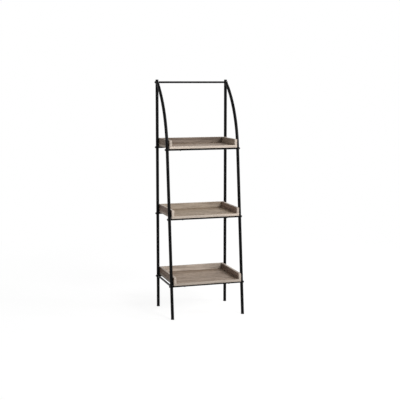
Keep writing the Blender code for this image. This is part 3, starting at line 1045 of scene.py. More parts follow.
@dataclass
class SideFrame:
    """One side frame: a post, a curved leg, a rail, a cap, two feet and the welds.

    Attributes:
        side: Which side it is.
        path: The leg's axis.
        x: X of the frame's plane.
        radius: Radius of the posts' and the legs' tube.
        rail_radius, rail_height: Radius of the rail, and height of its axis.
        coat, cap_dress, foot_dress: What its pieces are dressed in.
        wall, rail_wall: Walls of the two tubes.
        rim_break: How far the rims of the post are broken.
        bead_radius, rail_bead_radius: Radii of the welds on the leg and on the rail.
        bead_sides, bead_swell, bead_power: Share of its radius that the leg's weld keeps
            at the sides, what it gains at the top and the bottom, and how sharply.
        ripple_pitch, ripple_swell: Distance between a weld's ripples, and their height
            against its radius.
        foot_radius, foot_height: Size of a foot below the end of its tube.
        foot_rounding, foot_break: Rounding of a foot's lower and upper edge.
        plug_depth, plug_tip: Length of a foot's plug, and of the taper at its tip.
        plug_share, stem_share: What the taper leaves of the radius at the tip of a
            foot's plug and of the cap's stem.
        cap_rim, cap_depth: Height of the cap's flange, and length of its stem.
        cap_rounding: Rounding of the flange's edge, and length of the taper at the stem's tip.
        pole_share: How far out the last row of the cap's dome lies, against the one before.
    """

    side: Side
    path: LegPath
    x: float
    radius: float
    rail_radius: float
    rail_height: float
    coat: Dress
    cap_dress: Dress
    foot_dress: Dress
    wall: float = 0.0012
    rail_wall: float = 0.0010
    rim_break: float = 0.0003
    bead_radius: float = 0.0017
    rail_bead_radius: float = 0.00136
    bead_sides: float = 0.12
    bead_swell: float = 0.80
    bead_power: float = 1.5
    ripple_pitch: float = 0.0014
    ripple_swell: float = 0.1
    foot_radius: float = 0.0105
    foot_height: float = 0.0060
    foot_rounding: float = 0.0012
    foot_break: float = 0.00045
    plug_depth: float = 0.0140
    plug_tip: float = 0.0007
    plug_share: float = 0.94
    stem_share: float = 0.96
    cap_rim: float = 0.0012
    cap_depth: float = 0.0100
    cap_rounding: float = 0.0003
    pole_share: float = 0.25

    def build(self) -> None:
        """Builds and dresses every piece of the side frame."""
        self.build_post()
        self.build_leg()
        self.build_leg_weld()
        self.build_rail()
        self.build_rail_weld(Row.FRONT)
        self.build_rail_weld(Row.BACK)
        self.build_cap()
        self.build_foot(Row.BACK, self.path.post_y, 0.0)
        self.build_foot(Row.FRONT, self.path.foot_y, self.path.lean)

    def add(self, part: str, shell: Shell, dress: Dress, node: str) -> None:
        """Adds a piece that was made about X 0, in the frame's plane.

        Args:
            part: Name of the piece, without its side.
            shell: Its closed surface.
            dress: What it is dressed in.
            node: The node that it replaces, without its side.
        """
        word = self.side.word
        add_piece(f"{word}_{part}", [shell.moved((self.x, 0.0, 0.0))], dress, f"{word}_{node}")

    def build_post(self) -> None:
        """Builds the post: a tube turned about its axis, with broken rims.

        Its profile goes up the outer wall at the tube's radius and closes down the
        inner wall at radius - wall. At both ends the outer wall draws in to
        radius - rim break.
        """
        low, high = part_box(f"{self.side.word}_back_post")
        inner, rim = self.radius - self.wall, self.radius - self.rim_break
        heights = np.linspace(low.z + self.rim_break, high.z - self.rim_break, STRAIGHT_STEPS)
        profile = [(inner, low.z), (rim, low.z)]
        profile += [(self.radius, height) for height in heights]
        profile += [(rim, high.z), (inner, high.z)]
        rows = revolve(np.array(profile), TUBE_POINTS) + (0.0, self.path.post_y, 0.0)
        self.add("back_post", Shell(rows, looped=True), self.coat, "back_post")

    def build_leg(self) -> None:
        """Builds the leg as an outer and an inner wall joined at both ends.

        The tube starts (low + radius sin lean) / cos lean up the run, which puts the
        lowest point of its square end at low.
        """
        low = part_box(f"{self.side.word}_front_leg")[0].z
        start = (low + self.radius * math.sin(self.path.lean)) / math.cos(self.path.lean)
        reach = self.radius + SEAT_GAP
        outer = self.path.wall(self.radius, start, reach)
        inner = self.path.wall(self.radius - self.wall, start, reach)
        rows = np.concatenate((outer, inner[::-1]))
        self.add("front_leg", Shell(rows, looped=True), self.coat, "front_leg")

    def build_leg_weld(self) -> None:
        """Builds the weld where the arc meets the post.

        Its curve is the leg's outer wall on the post's surface. The bead is
        full at the top and the bottom and fades where the two tubes lie side
        by side: its radius is multiplied by sides + swell |sin t|^power.
        """
        t = turns(WELD_POINTS)
        across, out = self.radius * np.cos(t), self.radius * np.sin(t)
        depth = np.sqrt(np.maximum(self.radius ** 2 - across ** 2, 0.0))
        angle = np.arccos((self.path.centre[0] - self.path.post_y + depth) / (self.path.radius + out))
        height = self.path.centre[1] + (self.path.radius + out) * np.sin(angle)
        curve = np.stack((across, self.path.post_y - depth, height), axis=-1)
        normal = np.stack((across, -depth, np.zeros_like(t)), axis=-1) / self.radius
        fade = self.bead_sides + self.bead_swell * np.abs(np.sin(t)) ** self.bead_power
        weld = bead(curve, normal, fade * self.rippled(curve, self.bead_radius))
        self.add("leg_weld", weld, self.coat, "front_leg")

    def rippled(self, curve: np.ndarray, radius: float) -> np.ndarray:
        """Works out the radius of a weld, which swells at each of its ripples.

        Args:
            curve: Points of the closed weld.
            radius: Its mean radius.

        Returns:
            The radius at each point: radius (1 + swell cos(ripples x turn)).
        """
        length = float(np.linalg.norm(np.roll(curve, -1, axis=0) - curve, axis=1).sum())
        ripples = round(length / self.ripple_pitch)
        return radius * (1 + self.ripple_swell * np.cos(ripples * turns(len(curve))))

    def rail_end(self, row: Row, section: float, count: int, gap: float) -> np.ndarray:
        """Works out where the lines of the rail meet the post or the leg.

        For dx = s cos t and dz = s sin t, the back end is post_y minus
        sqrt(reach^2 - dx^2). The front end is the leg's axis at that height
        plus sqrt(reach^2 - dx^2) / cos lean.

        Args:
            row: Which upright it meets.
            section: Radius s of the rail's wall.
            count: Points round it.
            gap: Gap to the tube that it meets.

        Returns:
            The end's points about X 0.
        """
        t = turns(count)
        dx, z = section * np.cos(t), self.rail_height + section * np.sin(t)
        depth = np.sqrt((self.radius + gap) ** 2 - dx ** 2)
        if row is Row.BACK:
            y = self.path.post_y - depth
        else:
            y = self.path.run_y(z) + depth / math.cos(self.path.lean)
        return np.stack((dx, y, z), axis=-1)

    def build_rail(self) -> None:
        """Builds the rail between the post and the leg.

        A point of a wall is front + share (back - front), with the share going
        from 0 at the leg to 1 at the post.
        """
        walls = []
        share = np.linspace(0, 1, STRAIGHT_STEPS)[:, None, None]
        for section in (self.rail_radius, self.rail_radius - self.rail_wall):
            front = self.rail_end(Row.FRONT, section, BAR_POINTS, SEAT_GAP)
            back = self.rail_end(Row.BACK, section, BAR_POINTS, SEAT_GAP)
            walls.append(front + (back - front) * share)
        rows = np.concatenate((walls[0], walls[1][::-1]))
        self.add("side_rail", Shell(rows, looped=True), self.coat, "side_rail")

    def build_rail_weld(self, row: Row) -> None:
        """Builds the weld round one end of the rail.

        Its curve is the rail's end on the upright, without a gap. Its normal is
        (dx, out, 0), with out as one tube radius away from the upright.

        Args:
            row: Which upright the end meets.
        """
        curve = self.rail_end(row, self.rail_radius, WELD_POINTS, 0.0)
        out = -self.radius if row is Row.BACK else self.radius
        normal = np.zeros_like(curve)
        normal[:, 0], normal[:, 1] = curve[:, 0], out
        weld = bead(curve, normal, self.rippled(curve, self.rail_bead_radius))
        self.add(f"rail_{row.word}_weld", weld, self.coat, "side_rail")

    def build_cap(self) -> None:
        """Builds the cap: a stem, a flange with a rounded edge and a low dome.

        Above the flange the profile is r = R cos t, h = rim + rise sin t.
        """
        low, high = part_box(f"{self.side.word}_post_cap")
        stem = self.radius - self.wall - SEAT_GAP
        seat = low.z + self.cap_depth
        rim = seat + self.cap_rim
        dome = quarter((0.0, rim), (self.radius, high.z - rim), 0.0, DOME_STEPS)
        dome[-1, 0] = dome[-2, 0] * self.pole_share
        small = self.cap_rounding
        edge = quarter((self.radius - small, seat + small), (small, small), -math.pi / 2, ROUNDING_STEPS)
        plug = [(stem * self.stem_share, low.z), (stem, low.z + small), (stem, seat)]
        rows = revolve(np.concatenate((plug, edge, dome)), TUBE_POINTS)
        self.add("post_cap", Shell(rows + (0.0, self.path.post_y, 0.0)), self.cap_dress, "post_cap")

    def build_foot(self, row: Row, y: float, lean: float) -> None:
        """Builds a foot plug whose underside is level and whose top is square to its tube.

        A point at radius r and height h is r cos t X + r sin t side + h run, with
        run along the tube and side square to it. Each ring's points then go along
        the tube until they are level where the foot stands, and not at all where
        the tube's end sits on it.

        Args:
            row: Which upright it is under.
            y: Y of the tube's axis on the floor.
            lean: The tube's lean.
        """
        radius, rounding, small = self.foot_radius, self.foot_rounding, self.foot_break
        head = self.foot_height / math.cos(lean) + radius * math.tan(lean)
        stem, tip = self.radius - self.wall - SEAT_GAP, head + self.plug_depth
        lower = quarter((radius - rounding, rounding), (rounding, rounding), -math.pi / 2, ROUNDING_STEPS)
        upper = quarter((radius - small, head - small), (small, small), 0.0, ROUNDING_STEPS)
        plug = [(stem, head), (stem, tip - self.plug_tip), (stem * self.plug_share, tip)]
        profile = np.concatenate((lower, upper, plug))
        level = np.concatenate((np.ones(len(lower)), np.zeros(len(upper) + len(plug))))[:, None]
        run = np.array((0.0, math.sin(lean), math.cos(lean)))
        side = np.array((0.0, math.cos(lean), -math.sin(lean)))
        ring = revolve(profile, TUBE_POINTS)
        points = ring[..., :1] * (1.0, 0.0, 0.0) + ring[..., 1:2] * side + ring[..., 2:] * run
        lift = level * (profile[:, 1:] - points[..., 2]) / run[2]
        points = points + lift[..., None] * run + (0.0, y, 0.0)
        self.add(f"{row.word}_foot", Shell(points), self.foot_dress, f"{row.word}_foot")


@dataclass
class Fastener:
    """The bolts, their washers and the tray screws.

    Attributes:
        tube_radius: Radius of the tube that a bolt goes through.
        bar_radius: Radius of the crossbars.
        dress: What the fasteners are dressed in.
        shank, reach: Radius of a bolt, and its length in the bar's end.
        insert_recess: How far the threaded insert lies inside the bar's end.
        tip_share, tip_length: What the taper leaves of the radius at the bolt's tip, and
            its length.
        head, head_height: Radius and height of a bolt's head.
        rim_height: Height of the rim below the dome.
        dome_turn: How far the dome turns up to its flat crown.
        socket_width: Distance between opposite flats of the hexagon socket.
        crown_ring: Radius of the socket's surround against that of its corners.
        socket_rows: Share of the hexagon and depth of each row of the socket.
        washer, washer_bore: Outer and inner radius of a washer.
        washer_crest: Its thickness where the tube is highest.
        washer_play: How far its top lies below the head.
        rounding: Rounding of the edges of bolts, washers and screws.
        screw_shank, screw_bite: Radius of a screw, and its length in the tray.
        screw_tip, screw_point: Radius of a screw's tip, and length of its point.
        screw_head, screw_height: Radius and height of a screw's head.
        screw_turn: Angles that the dome of a screw's head begins and ends at.
        recess_length, recess_width: Half sizes of each slot of the cross recess.
        recess_depth, recess_slope: Depth of the recess, and slope of its walls.
    """

    tube_radius: float
    bar_radius: float
    dress: Dress
    shank: float = 0.0030
    reach: float = 0.0140
    insert_recess: float = 0.0030
    tip_share: float = 0.75
    tip_length: float = 0.0009
    head: float = 0.0065
    head_height: float = 0.0045
    rim_height: float = 0.0010
    dome_turn: float = math.radians(60.0)
    socket_width: float = 0.0040
    crown_ring: float = 1.12
    socket_rows: tuple[Pair, ...] = ((1.04, 0.0), (1.0, 0.0002), (1.0, 0.0024), (0.3, 0.00264))
    washer: float = 0.0070
    washer_bore: float = 0.0033
    washer_crest: float = 0.0015
    washer_play: float = 0.00005
    rounding: float = 0.0002
    screw_shank: float = 0.0020
    screw_bite: float = 0.0100
    screw_tip: float = 0.0002
    screw_point: float = 0.0040
    screw_head: float = 0.0040
    screw_height: float = 0.0018
    screw_turn: Pair = (0.08, 0.49 * math.pi)
    recess_length: float = 0.0022
    recess_width: float = 0.0005
    recess_depth: float = 0.0011
    recess_slope: float = 2.4

    @property
    def seat(self) -> float:
        """Distance of the underside of a bolt's head from its tube's axis."""
        return self.tube_radius + SEAT_GAP + self.washer_crest

    def bolt(self) -> Shell:
        """Builds a button-head bolt that points along +Z, with Z 0 on its tube's axis.

        The dome is r = R cos t, h = rim + rise sin t up to the flat crown. The
        socket's rows lie at a hexagon's distance, half width / cos(t within 30
        degrees of a flat's middle), in place of a constant radius.

        Returns:
            The bolt.
        """
        tip = -self.tube_radius - self.insert_recess - self.reach
        rim, crown = self.seat + self.rim_height, self.seat + self.head_height
        t = np.linspace(0, self.dome_turn, DOME_STEPS)
        rise = (crown - rim) / math.sin(self.dome_turn)
        dome = np.stack((self.head * np.cos(t), rim + rise * np.sin(t)), axis=-1)
        shank = [
            (self.shank * self.tip_share, tip),
            (self.shank, tip + self.tip_length),
            (self.shank, self.seat),
        ]
        under = [(self.head - self.rounding, self.seat), (self.head, self.seat + self.rounding)]
        corner = self.socket_width / 2 / math.cos(math.pi / 6)
        surround = [(corner * self.crown_ring, crown)]
        rows = [revolve(np.concatenate((shank, under, dome, surround)), BOLT_POINTS)]
        sector = math.pi / 3
        hexagon = self.socket_width / 2 / np.cos((turns(BOLT_POINTS) + sector / 2) % sector - sector / 2)
        for share, depth in self.socket_rows:
            level = revolve(np.array([(1.0, crown - depth)]), BOLT_POINTS)
            level[..., :2] *= (share * hexagon)[None, :, None]
            rows.append(level)
        return Shell(np.concatenate(rows))

    def saddle(self, fitted: bool) -> Shell:
        """Builds the washer under a bolt's head.

        A fitted one's underside is sqrt((tube + gap)^2 - (r cos t)^2) high at
        radius r, which follows the tube that lies along Y. A plain one is flat.

        Args:
            fitted: Whether it is hollowed to fit round the tube.

        Returns:
            The washer as a looped shell.
        """
        small, top = self.rounding, self.seat - self.washer_play
        under = np.array([(self.washer_bore, 0.0), (self.washer - small, 0.0), (self.washer, small)])
        rows = revolve(under, BOLT_POINTS)
        across = under[:, :1] * (np.cos(turns(BOLT_POINTS)) if fitted else 0.0)
        rows[..., 2] += np.sqrt((self.tube_radius + SEAT_GAP) ** 2 - across ** 2)
        upper = [
            (self.washer, self.seat - small),
            (self.washer - small, top),
            (self.washer_bore + small, top),
            (self.washer_bore, self.seat - small),
        ]
        return Shell(np.concatenate((rows, revolve(np.array(upper), BOLT_POINTS))), looped=True)

    def screw(self) -> Shell:
        """Builds a pan-head screw whose head faces +Z, with Z 0 under its head.

        The dome is r = R cos t, h = height sin t. The cross recess takes away
        slope x (distance inside the nearer of two crossed slots), up to its depth.

        Returns:
            The screw.
        """
        tip = -2 * (self.bar_radius + SEAT_GAP) - self.screw_bite
        t = np.linspace(*self.screw_turn, SCREW_STEPS)
        dome = np.stack((self.screw_head * np.cos(t), self.screw_height * np.sin(t)), axis=-1)
        shank = [
            (self.screw_tip, tip),
            (self.screw_shank, tip + self.screw_point),
            (self.screw_shank, 0.0),
            (self.screw_head - self.rounding, 0.0),
        ]
        rows = revolve(np.concatenate((shank, dome)), BOLT_POINTS)
        x, y = np.abs(rows[len(shank):, :, 0]), np.abs(rows[len(shank):, :, 1])
        inside = [np.minimum(self.recess_width - a, self.recess_length - b) for a, b in ((x, y), (y, x))]
        cut = self.recess_slope * np.maximum(*inside)
        rows[len(shank):, :, 2] -= np.clip(cut, 0.0, self.recess_depth)
        return Shell(rows)


@dataclass
class Crossbar:
    """A slim bar across the frame, with its bolts, and its screws where it carries a tray.

    Attributes:
        name: Which bar it is, without the word crossbar.
        y, height: Place of its axis.
        lean: Lean of the uprights that it meets.
        path: The legs' axis, whose arcs also meet the top bar.
        side_x: Distance of the side frames' planes from the middle.
        fastener: Its bolts, washers and screws.
        coat: What it is dressed in.
        carries_tray: Whether it carries a tray. The top bar doesn't.
        screw_spacing: Distance between its two screws.
        wall: Its wall.
    """

    name: str
    y: float
    height: float
    lean: float
    path: LegPath
    side_x: float
    fastener: Fastener
    coat: Dress
    carries_tray: bool = True
    screw_spacing: float = 0.300
    wall: float = 0.0010

    def build(self) -> None:
        """Builds and dresses the bar and its fasteners.

        A point of a wall is (share x end, y + s cos t, height + s sin t), with s
        the wall's radius and the share going from -1 to 1.
        """
        walls = []
        t = turns(BAR_POINTS)
        share = np.linspace(-1, 1, STRAIGHT_STEPS * 2)[:, None]
        for section in (self.fastener.bar_radius, self.fastener.bar_radius - self.wall):
            x = share * self.end(section)
            y = np.broadcast_to(self.y + section * np.cos(t), x.shape)
            z = np.broadcast_to(self.height + section * np.sin(t), x.shape)
            walls.append(np.stack((x, y, z), axis=-1))
        rows = np.concatenate((walls[0], walls[1][::-1]))
        node = f"{self.name}_crossbar"
        add_piece(node, [Shell(rows, looped=True)], self.coat, node)
        for side in Side:
            self.build_bolt(side)
            if self.carries_tray:
                self.build_screw(side)

    def end(self, section: float) -> np.ndarray:
        """Works out how far each line of the bar reaches from the middle.

        A line dy, dz from the axis ends side_x - sqrt(reach^2 - n^2) out, with
        n = dy cos lean - dz sin lean its distance beside the upright. Beside
        the arc, n is the distance from the arc's centre less its radius.

        Args:
            section: Radius of the bar's wall.

        Returns:
            The reach of each line.
        """
        t = turns(BAR_POINTS)
        dy, dz = section * np.cos(t), section * np.sin(t)
        reach = self.fastener.tube_radius + SEAT_GAP
        beside = dy * math.cos(self.lean) - dz * math.sin(self.lean)
        end = self.side_x - np.sqrt(reach ** 2 - beside ** 2)
        if self.carries_tray:
            return end
        centre = self.path.centre
        out = np.hypot(self.y + dy - centre[0], self.height + dz - centre[1]) - self.path.radius
        near = (dy < 0) & (np.abs(out) < reach)
        arc_end = self.side_x - np.sqrt(np.where(near, reach ** 2 - out ** 2, 0.0))
        return np.where(near, np.minimum(end, arc_end), end)

    def build_bolt(self, side: Side) -> None:
        """Builds the bolt and washer at one end, turned to point out of the frame.

        Args:
            side: Which end it is.
        """
        out = Vector((side.value, 0.0, 0.0))
        along = Vector((0.0, math.sin(self.lean), math.cos(self.lean)))
        turn = Matrix((along.cross(out), along, out)).transposed().to_4x4()
        spot = Matrix.Translation((side.value * self.side_x, self.y, self.height)) @ turn
        end = f"{self.name}_crossbar_{side.word}"
        node = f"{end}_bolt"
        add_piece(node, [self.fastener.bolt().placed(spot)], self.fastener.dress, node)
        washer = self.fastener.saddle(fitted=self.carries_tray).placed(spot)
        add_piece(f"{end}_washer", [washer], self.fastener.dress, node)

    def build_screw(self, side: Side) -> None:
        """Builds the screw that goes up through the bar into the tray.

        Args:
            side: Which end of the bar it is near.
        """
        low = self.height - self.fastener.bar_radius - SEAT_GAP
        down = Matrix.Rotation(math.pi, 4, "X")
        spot = Matrix.Translation((side.value * self.screw_spacing / 2, self.y, low)) @ down
        node = f"{self.name}_{side.word}_screw"
        add_piece(node, [self.fastener.screw().placed(spot)], self.fastener.dress, node)


@dataclass
class Board:
    """A board whose narrow edges are rounded into its two broad faces.

    Attributes:
        low, high: Its corners.
        thin: Direction of its thickness.
        corners: Radius of each corner of its outline, from the one where both
            of the other axes are high, anticlockwise.
        edge: Radius that its edges are rounded to.
        rim: Width of the strip of each broad face beside the edge.
        sharpest: Radius that no corner falls below as its outline is drawn in.
    """

    low: np.ndarray
    high: np.ndarray
    thin: Axis
    corners: tuple[float, float, float, float]
    edge: float = 0.0008
    rim: float = 0.0040
    sharpest: float = 0.0001

    @property
    def flat(self) -> list[int]:
        """Numbers of the two axes that its broad faces lie in."""
        return [axis.value for axis in Axis if axis is not self.thin]

    def outline(self, inset: float) -> np.ndarray:
        """Works out the outline, drawn in by inset.

        Each corner is a quarter circle about the corner moved in by its radius.
        Drawing in makes the circle smaller until it is all but sharp.

        Args:
            inset: Distance that the outline is drawn in.

        Returns:
            Points in the two axes of the broad face.
        """
        low, high = self.low[self.flat] + inset, self.high[self.flat] - inset
        quarters = []
        for number, full in enumerate(self.corners):
            radius = max(full - inset, self.sharpest)
            across = high[0] - radius if number in (0, 3) else low[0] + radius
            up = high[1] - radius if number in (0, 1) else low[1] + radius
            start = number * math.pi / 2
            quarters.append(quarter((across, up), (radius, radius), start, CORNER_STEPS))
        return np.concatenate(quarters)

    def shell(self) -> Shell:
        """Builds the board from one broad face over its narrow edges to the other.

        Over a rounded edge the inset is e (1 - sin t) and the height e (1 - cos t).

        Returns:
            The board, with its narrow edges marked by the band.
        """
        t = np.linspace(0, math.pi / 2, ROUNDING_STEPS + 1)
        insets = np.concatenate(([self.rim], self.edge * (1 - np.sin(t))))
        heights = np.concatenate(([0.0], self.edge * (1 - np.cos(t))))
        bands = np.concatenate(([0.0], t / (math.pi / 2)))
        bottom, top = self.low[self.thin.value], self.high[self.thin.value]
        levels = np.concatenate((bottom + heights, (top - heights)[::-1]))
        insets, bands = (np.concatenate((part, part[::-1])) for part in (insets, bands))
        outlines = np.stack([self.outline(inset) for inset in insets])
        rows = np.empty((*outlines.shape[:2], 3))
        rows[..., self.flat] = outlines
        rows[..., self.thin.value] = levels[:, None]
        return Shell(rows, band=bands)


@dataclass
class Tray:
    """A tray: a base, and a lip on its left, right and back edge.

    Attributes:
        level: Which tray it is.
        tones_and_shade: Tones of its base, back lip, left lip and right lip, which also paint light and
            shade.
        cut_start: Where on the endless grain the bottom tray's base is cut from.
        tray_step: How far along the grain each tray is cut from the one below.
        board_step: How far each board of a tray is cut from the one before.
        corner: Radius of the boards' corners.
        lip_corner: Radius of the upper front corner of the side lips.
    """

    level: Level
    tones_and_shade: tuple[BoardToneAndShade, BoardToneAndShade, BoardToneAndShade, BoardToneAndShade]
    cut_start: Triple = (0.0, -0.05, 0.019)
    tray_step: float = 1.7
    board_step: Triple = (0.37, 0.11, 0.023)
    corner: float = 0.0008
    lip_corner: float = 0.0070

    def shift(self, number: int) -> Triple:
        """Works out where on the endless grain a board is cut from.

        Args:
            number: Number of the board in its tray.

        Returns:
            The place: start + number x step, and a step along the grain for each tray.
        """
        x, y, z = (start + number * step for start, step in zip(self.cut_start, self.board_step))
        return (x + self.level.value * self.tray_step, y, z)

    def build(self) -> None:
        """Builds and dresses the four boards. The lips stand a gap above the base."""
        small = (self.corner,) * 4
        front_top = (self.corner, self.lip_corner, self.corner, self.corner)
        plan = (
            ("base", Axis.Z, Axis.X, small),
            ("back_lip", Axis.Y, Axis.X, small),
            ("left_lip", Axis.X, Axis.Y, front_top),
            ("right_lip", Axis.X, Axis.Y, front_top),
        )
        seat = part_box(f"{self.level.word}_tray_base")[1].z + SEAT_GAP
        for number, (part, thin, grain, corners) in enumerate(plan):
            node = f"{self.level.word}_tray_{part}"
            low, high = (np.array(corner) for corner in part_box(node))
            if part != "base":
                low[2] = seat
            # Each board's tint and edge value paint light and shade as well as its own tone
            finish = Driftwood(grain, self.shift(number), self.tones_and_shade[number])
            dress = Dress(finish.material(f"{node}_laminate"), Slot.BOARD)
            add_piece(node, [Board(low, high, thin, corners).shell()], dress, node)


@dataclass(frozen=True)
class Softbox:
    """A soft lamp with a flat rectangular face.

    Attributes:
        name: Its name.
        spot, aim: Where it stands and what it points at.
        power: Its power in watts.
        size: Width and height of its face.
    """

    name: str
    spot: Triple
    aim: Triple
    power: float
    size: Pair

    def build(self) -> None:
        """Builds the lamp, which the camera itself doesn't see."""
        light = bpy.data.lights.new(self.name, "AREA")
        light.shape = "RECTANGLE"
        light.size, light.size_y = self.size
        light.energy = self.power
        lamp = bpy.data.objects.new(self.name, light)
        lamp.location = self.spot
        lamp.rotation_euler = (Vector(self.aim) - lamp.location).to_track_quat("-Z", "Y").to_euler()
        lamp.visible_camera = False
        bpy.context.scene.collection.objects.link(lamp)


@dataclass
class Studio:
    """A plain pale floor, soft light and the photograph's camera.

    Attributes:
        post_y: Y of the posts, from which the camera's place is measured.
        spot: The camera's place, with Y from the posts.
        yaw, tilt: Its turn to the right and downwards.
        focal: Its focal length in pixels of the photograph.
        shift: How far its picture is shifted up, in widths of the picture.
        sensor: Width of its sensor in millimetres.
        ambient: Strength of the world's light on the object.
        floor_reach: How far the floor goes from the middle.
        floor_drop: How far it lies below the feet.
        floor_albedo: Its whiteness as the object is lit by it.
        floor_seen_albedo, floor_glow: Its whiteness and glow as it is seen, near the
            object, where together they come to near white and leave room for a shadow.
        floor_fade: Distances between which the seen floor fades to plain white.
        lamps: The lamps.
    """

    post_y: float
    spot: Triple = (-1.7095, -5.6411, 1.5127)
    yaw: float = math.radians(17.4003)
    tilt: float = math.radians(7.3324)
    focal: float = 879.67
    shift: float = -0.014
    sensor: float = 36.0
    ambient: float = 0.27
    floor_reach: float = 40.0
    floor_drop: float = 0.0002
    floor_albedo: float = 0.80
    floor_seen_albedo: float = 0.20
    floor_glow: float = 0.87
    floor_fade: Pair = (0.9, 3.0)
    lamps: tuple[Softbox, ...] = (
        Softbox("key_softbox", (1.70, -4.75, 3.05), (0.0, 0.0, 0.80), 185.0, (1.5, 1.5)),
        Softbox("side_strip", (3.33, -1.63, 2.50), (0.0, 0.0, 1.00), 64.0, (0.45, 2.4)),
        Softbox("back_softbox", (2.40, 3.20, 2.60), (0.0, 0.0, 0.90), 48.0, (1.6, 1.6)),
    )

    def build(self) -> None:
        """Builds the floor, the world, the lamps and the camera."""
        self.build_floor()
        self.build_world()
        for lamp in self.lamps:
            lamp.build()
        self.build_camera()
        bpy.context.scene.view_settings.view_transform = "Standard"

    def floor_material(self) -> bpy.types.Material:
        """Makes the floor's material.

        Seen rays find a diffuse surface plus a glow that fade to a glow of 1 with
        the distance from the object. Other rays find a plain diffuse surface.

        Returns:
            The material.
        """
        material = bpy.data.materials.new("studio_floor")
        material.use_nodes = True
        graph = Graph(material.node_tree)
        graph.tree.nodes.clear()
        seen = graph.seen_rays()
        away = graph.add("ShaderNodeVectorMath", {0: graph.place()}, operation="LENGTH").outputs["Value"]
        albedo = graph.spread(away, self.floor_fade, (self.floor_seen_albedo, 0.0), smooth=True)
        albedo = graph.spread(seen, WHOLE, (self.floor_albedo, albedo))
        glow = graph.spread(away, self.floor_fade, (self.floor_glow, 1.0), smooth=True)
        glow = graph.spread(seen, WHOLE, (0.0, glow))
        diffuse = graph.add("ShaderNodeBsdfDiffuse", {"Color": albedo}).outputs[0]
        emission = graph.add("ShaderNodeEmission", {"Strength": glow}).outputs[0]
        both = graph.add("ShaderNodeAddShader", {0: diffuse, 1: emission}).outputs[0]
        graph.add("ShaderNodeOutputMaterial", {0: both})
        return material

    def build_floor(self) -> None:
        """Builds the pale floor, which shows near white and keeps the soft shadow."""
        reach, z = self.floor_reach, -self.floor_drop
        corners = [(-reach, -reach, z), (reach, -reach, z), (reach, reach, z), (-reach, reach, z)]
        mesh = bpy.data.meshes.new("studio_floor")
        mesh.from_pydata(corners, [], [(0, 1, 2, 3)])
        mesh.materials.append(self.floor_material())
        floor = bpy.data.objects.new("studio_floor", mesh)
        bpy.context.scene.collection.objects.link(floor)

    def build_world(self) -> None:
        """Builds the world: white where it is seen, and a plain level of light on the object."""
        world = bpy.data.worlds.new("studio_world")
        world.use_nodes = True
        graph = Graph(world.node_tree)
        graph.tree.nodes.clear()
        white = (1.0, 1.0, 1.0, 1.0)
        fill = graph.add("ShaderNodeBackground", {"Color": white, "Strength": self.ambient}).outputs[0]
        backdrop = graph.add("ShaderNodeBackground", {"Color": white}).outputs[0]
        mix = graph.add("ShaderNodeMixShader", {0: graph.seen_rays(), 1: fill, 2: backdrop}).outputs[0]
        graph.add("ShaderNodeOutputWorld", {0: mix})
        bpy.context.scene.world = world

    def build_camera(self) -> None:
        """Builds the camera at the photograph's viewing angle."""
        data = bpy.data.cameras.new("photo_camera")
        data.sensor_width = self.sensor
        data.lens = self.focal / PICTURE_WIDTH * self.sensor
        data.shift_y = self.shift
        camera = bpy.data.objects.new("photo_camera", data)
        camera.location = (self.spot[0], self.spot[1] + self.post_y, self.spot[2])
        camera.rotation_euler = (math.pi / 2 - self.tilt, 0.0, -self.yaw)
        bpy.context.scene.collection.objects.link(camera)
        bpy.context.scene.camera = camera


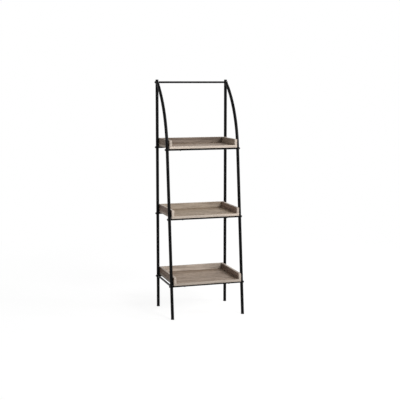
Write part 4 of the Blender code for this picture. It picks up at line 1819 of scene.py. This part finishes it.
# Tones of each tray's base, back lip, left lip and right lip, as the photograph shows them. Each holds the
# board's own tone and also painted light and shade: the bottom base is darker for the shade at its back, the
# bottom back lip much brighter to make up for light it lacks, and the other tints and edge values lighter or
# darker by how the light falls on each board.
TRAY_TONES_AND_SHADE = {
    Level.BOTTOM: (
        BoardToneAndShade((0.86, 0.82, 0.80), 0.76),
        BoardToneAndShade((1.38, 1.46, 1.56), 0.90),
        BoardToneAndShade((0.70, 0.61, 0.58), 0.87),
        BoardToneAndShade((0.84, 0.77, 0.78), 0.92),
    ),
    Level.MIDDLE: (
        BoardToneAndShade((0.96, 0.92, 0.84), 0.98),
        BoardToneAndShade((1.18, 1.23, 1.25), 1.00),
        BoardToneAndShade((0.80, 0.73, 0.76), 1.01),
        BoardToneAndShade((1.20, 1.12, 1.17), 0.83),
    ),
    Level.TOP: (
        BoardToneAndShade((0.84, 0.79, 0.76), 1.08),
        BoardToneAndShade((0.65, 0.64, 0.66), 1.12),
        BoardToneAndShade((0.86, 0.84, 0.84), 0.88),
        BoardToneAndShade((1.32, 1.34, 1.33), 0.98),
    ),
}

# Roughness of the feet, which are more matt than the caps
FOOT_ROUGHNESS: Pair = (0.70, 0.55)


def main() -> None:
    """Builds the sub-assemblies in order and reports each of them."""
    logging.basicConfig(level=logging.INFO, format="%(name)s: %(message)s")
    coat = Dress(PowderCoat().material("satin_black_powder_coat"), Slot.COAT)
    cap_dress = Dress(MouldedPlastic().material("cap_plastic"), Slot.CAP)
    foot_dress = Dress(MouldedPlastic(roughness=FOOT_ROUGHNESS).material("foot_plastic"), Slot.FOOT)
    steel = Dress(BlackSteel().material("black_oxide_steel"), Slot.STEEL)

    post = middle("right_back_post")
    tube_radius, bar_radius = half_width("right_back_post"), half_width("right_side_rail")
    mounts = {mount["name"]: mount["pos_m"] for mount in frame["record"]["mounts"]}
    foot_y, top = mounts["right_front_foot_underside"][1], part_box("right_post_cap")[1].z
    path = LegPath(foot_y, post.y, top)
    rail_height = middle("right_side_rail").z
    for side in Side:
        x = side.value * post.x
        SideFrame(side, path, x, tube_radius, bar_radius, rail_height, coat, cap_dress, foot_dress).build()
        LOG.info("%s side frame is done", side.word)

    fastener = Fastener(tube_radius, bar_radius, steel)
    top_height = middle("top_crossbar").z
    Crossbar("top", post.y, top_height, 0.0, path, post.x, fastener, coat, carries_tray=False).build()
    # Each tray's tones hold painted light and shade as well as the boards' own tones
    for level, tones_and_shade in TRAY_TONES_AND_SHADE.items():
        height = middle(f"{level.word}_back_crossbar").z
        places = {Row.BACK: (post.y, 0.0), Row.FRONT: (path.y_at(height), path.lean_at(height))}
        for row, (y, lean) in places.items():
            Crossbar(f"{level.word}_{row.word}", y, height, lean, path, post.x, fastener, coat).build()
        Tray(level, tones_and_shade).build()
        LOG.info("%s tray and its crossbars are done", level.word)
    Studio(post.y).build()


if __name__ == "__main__":
    main()
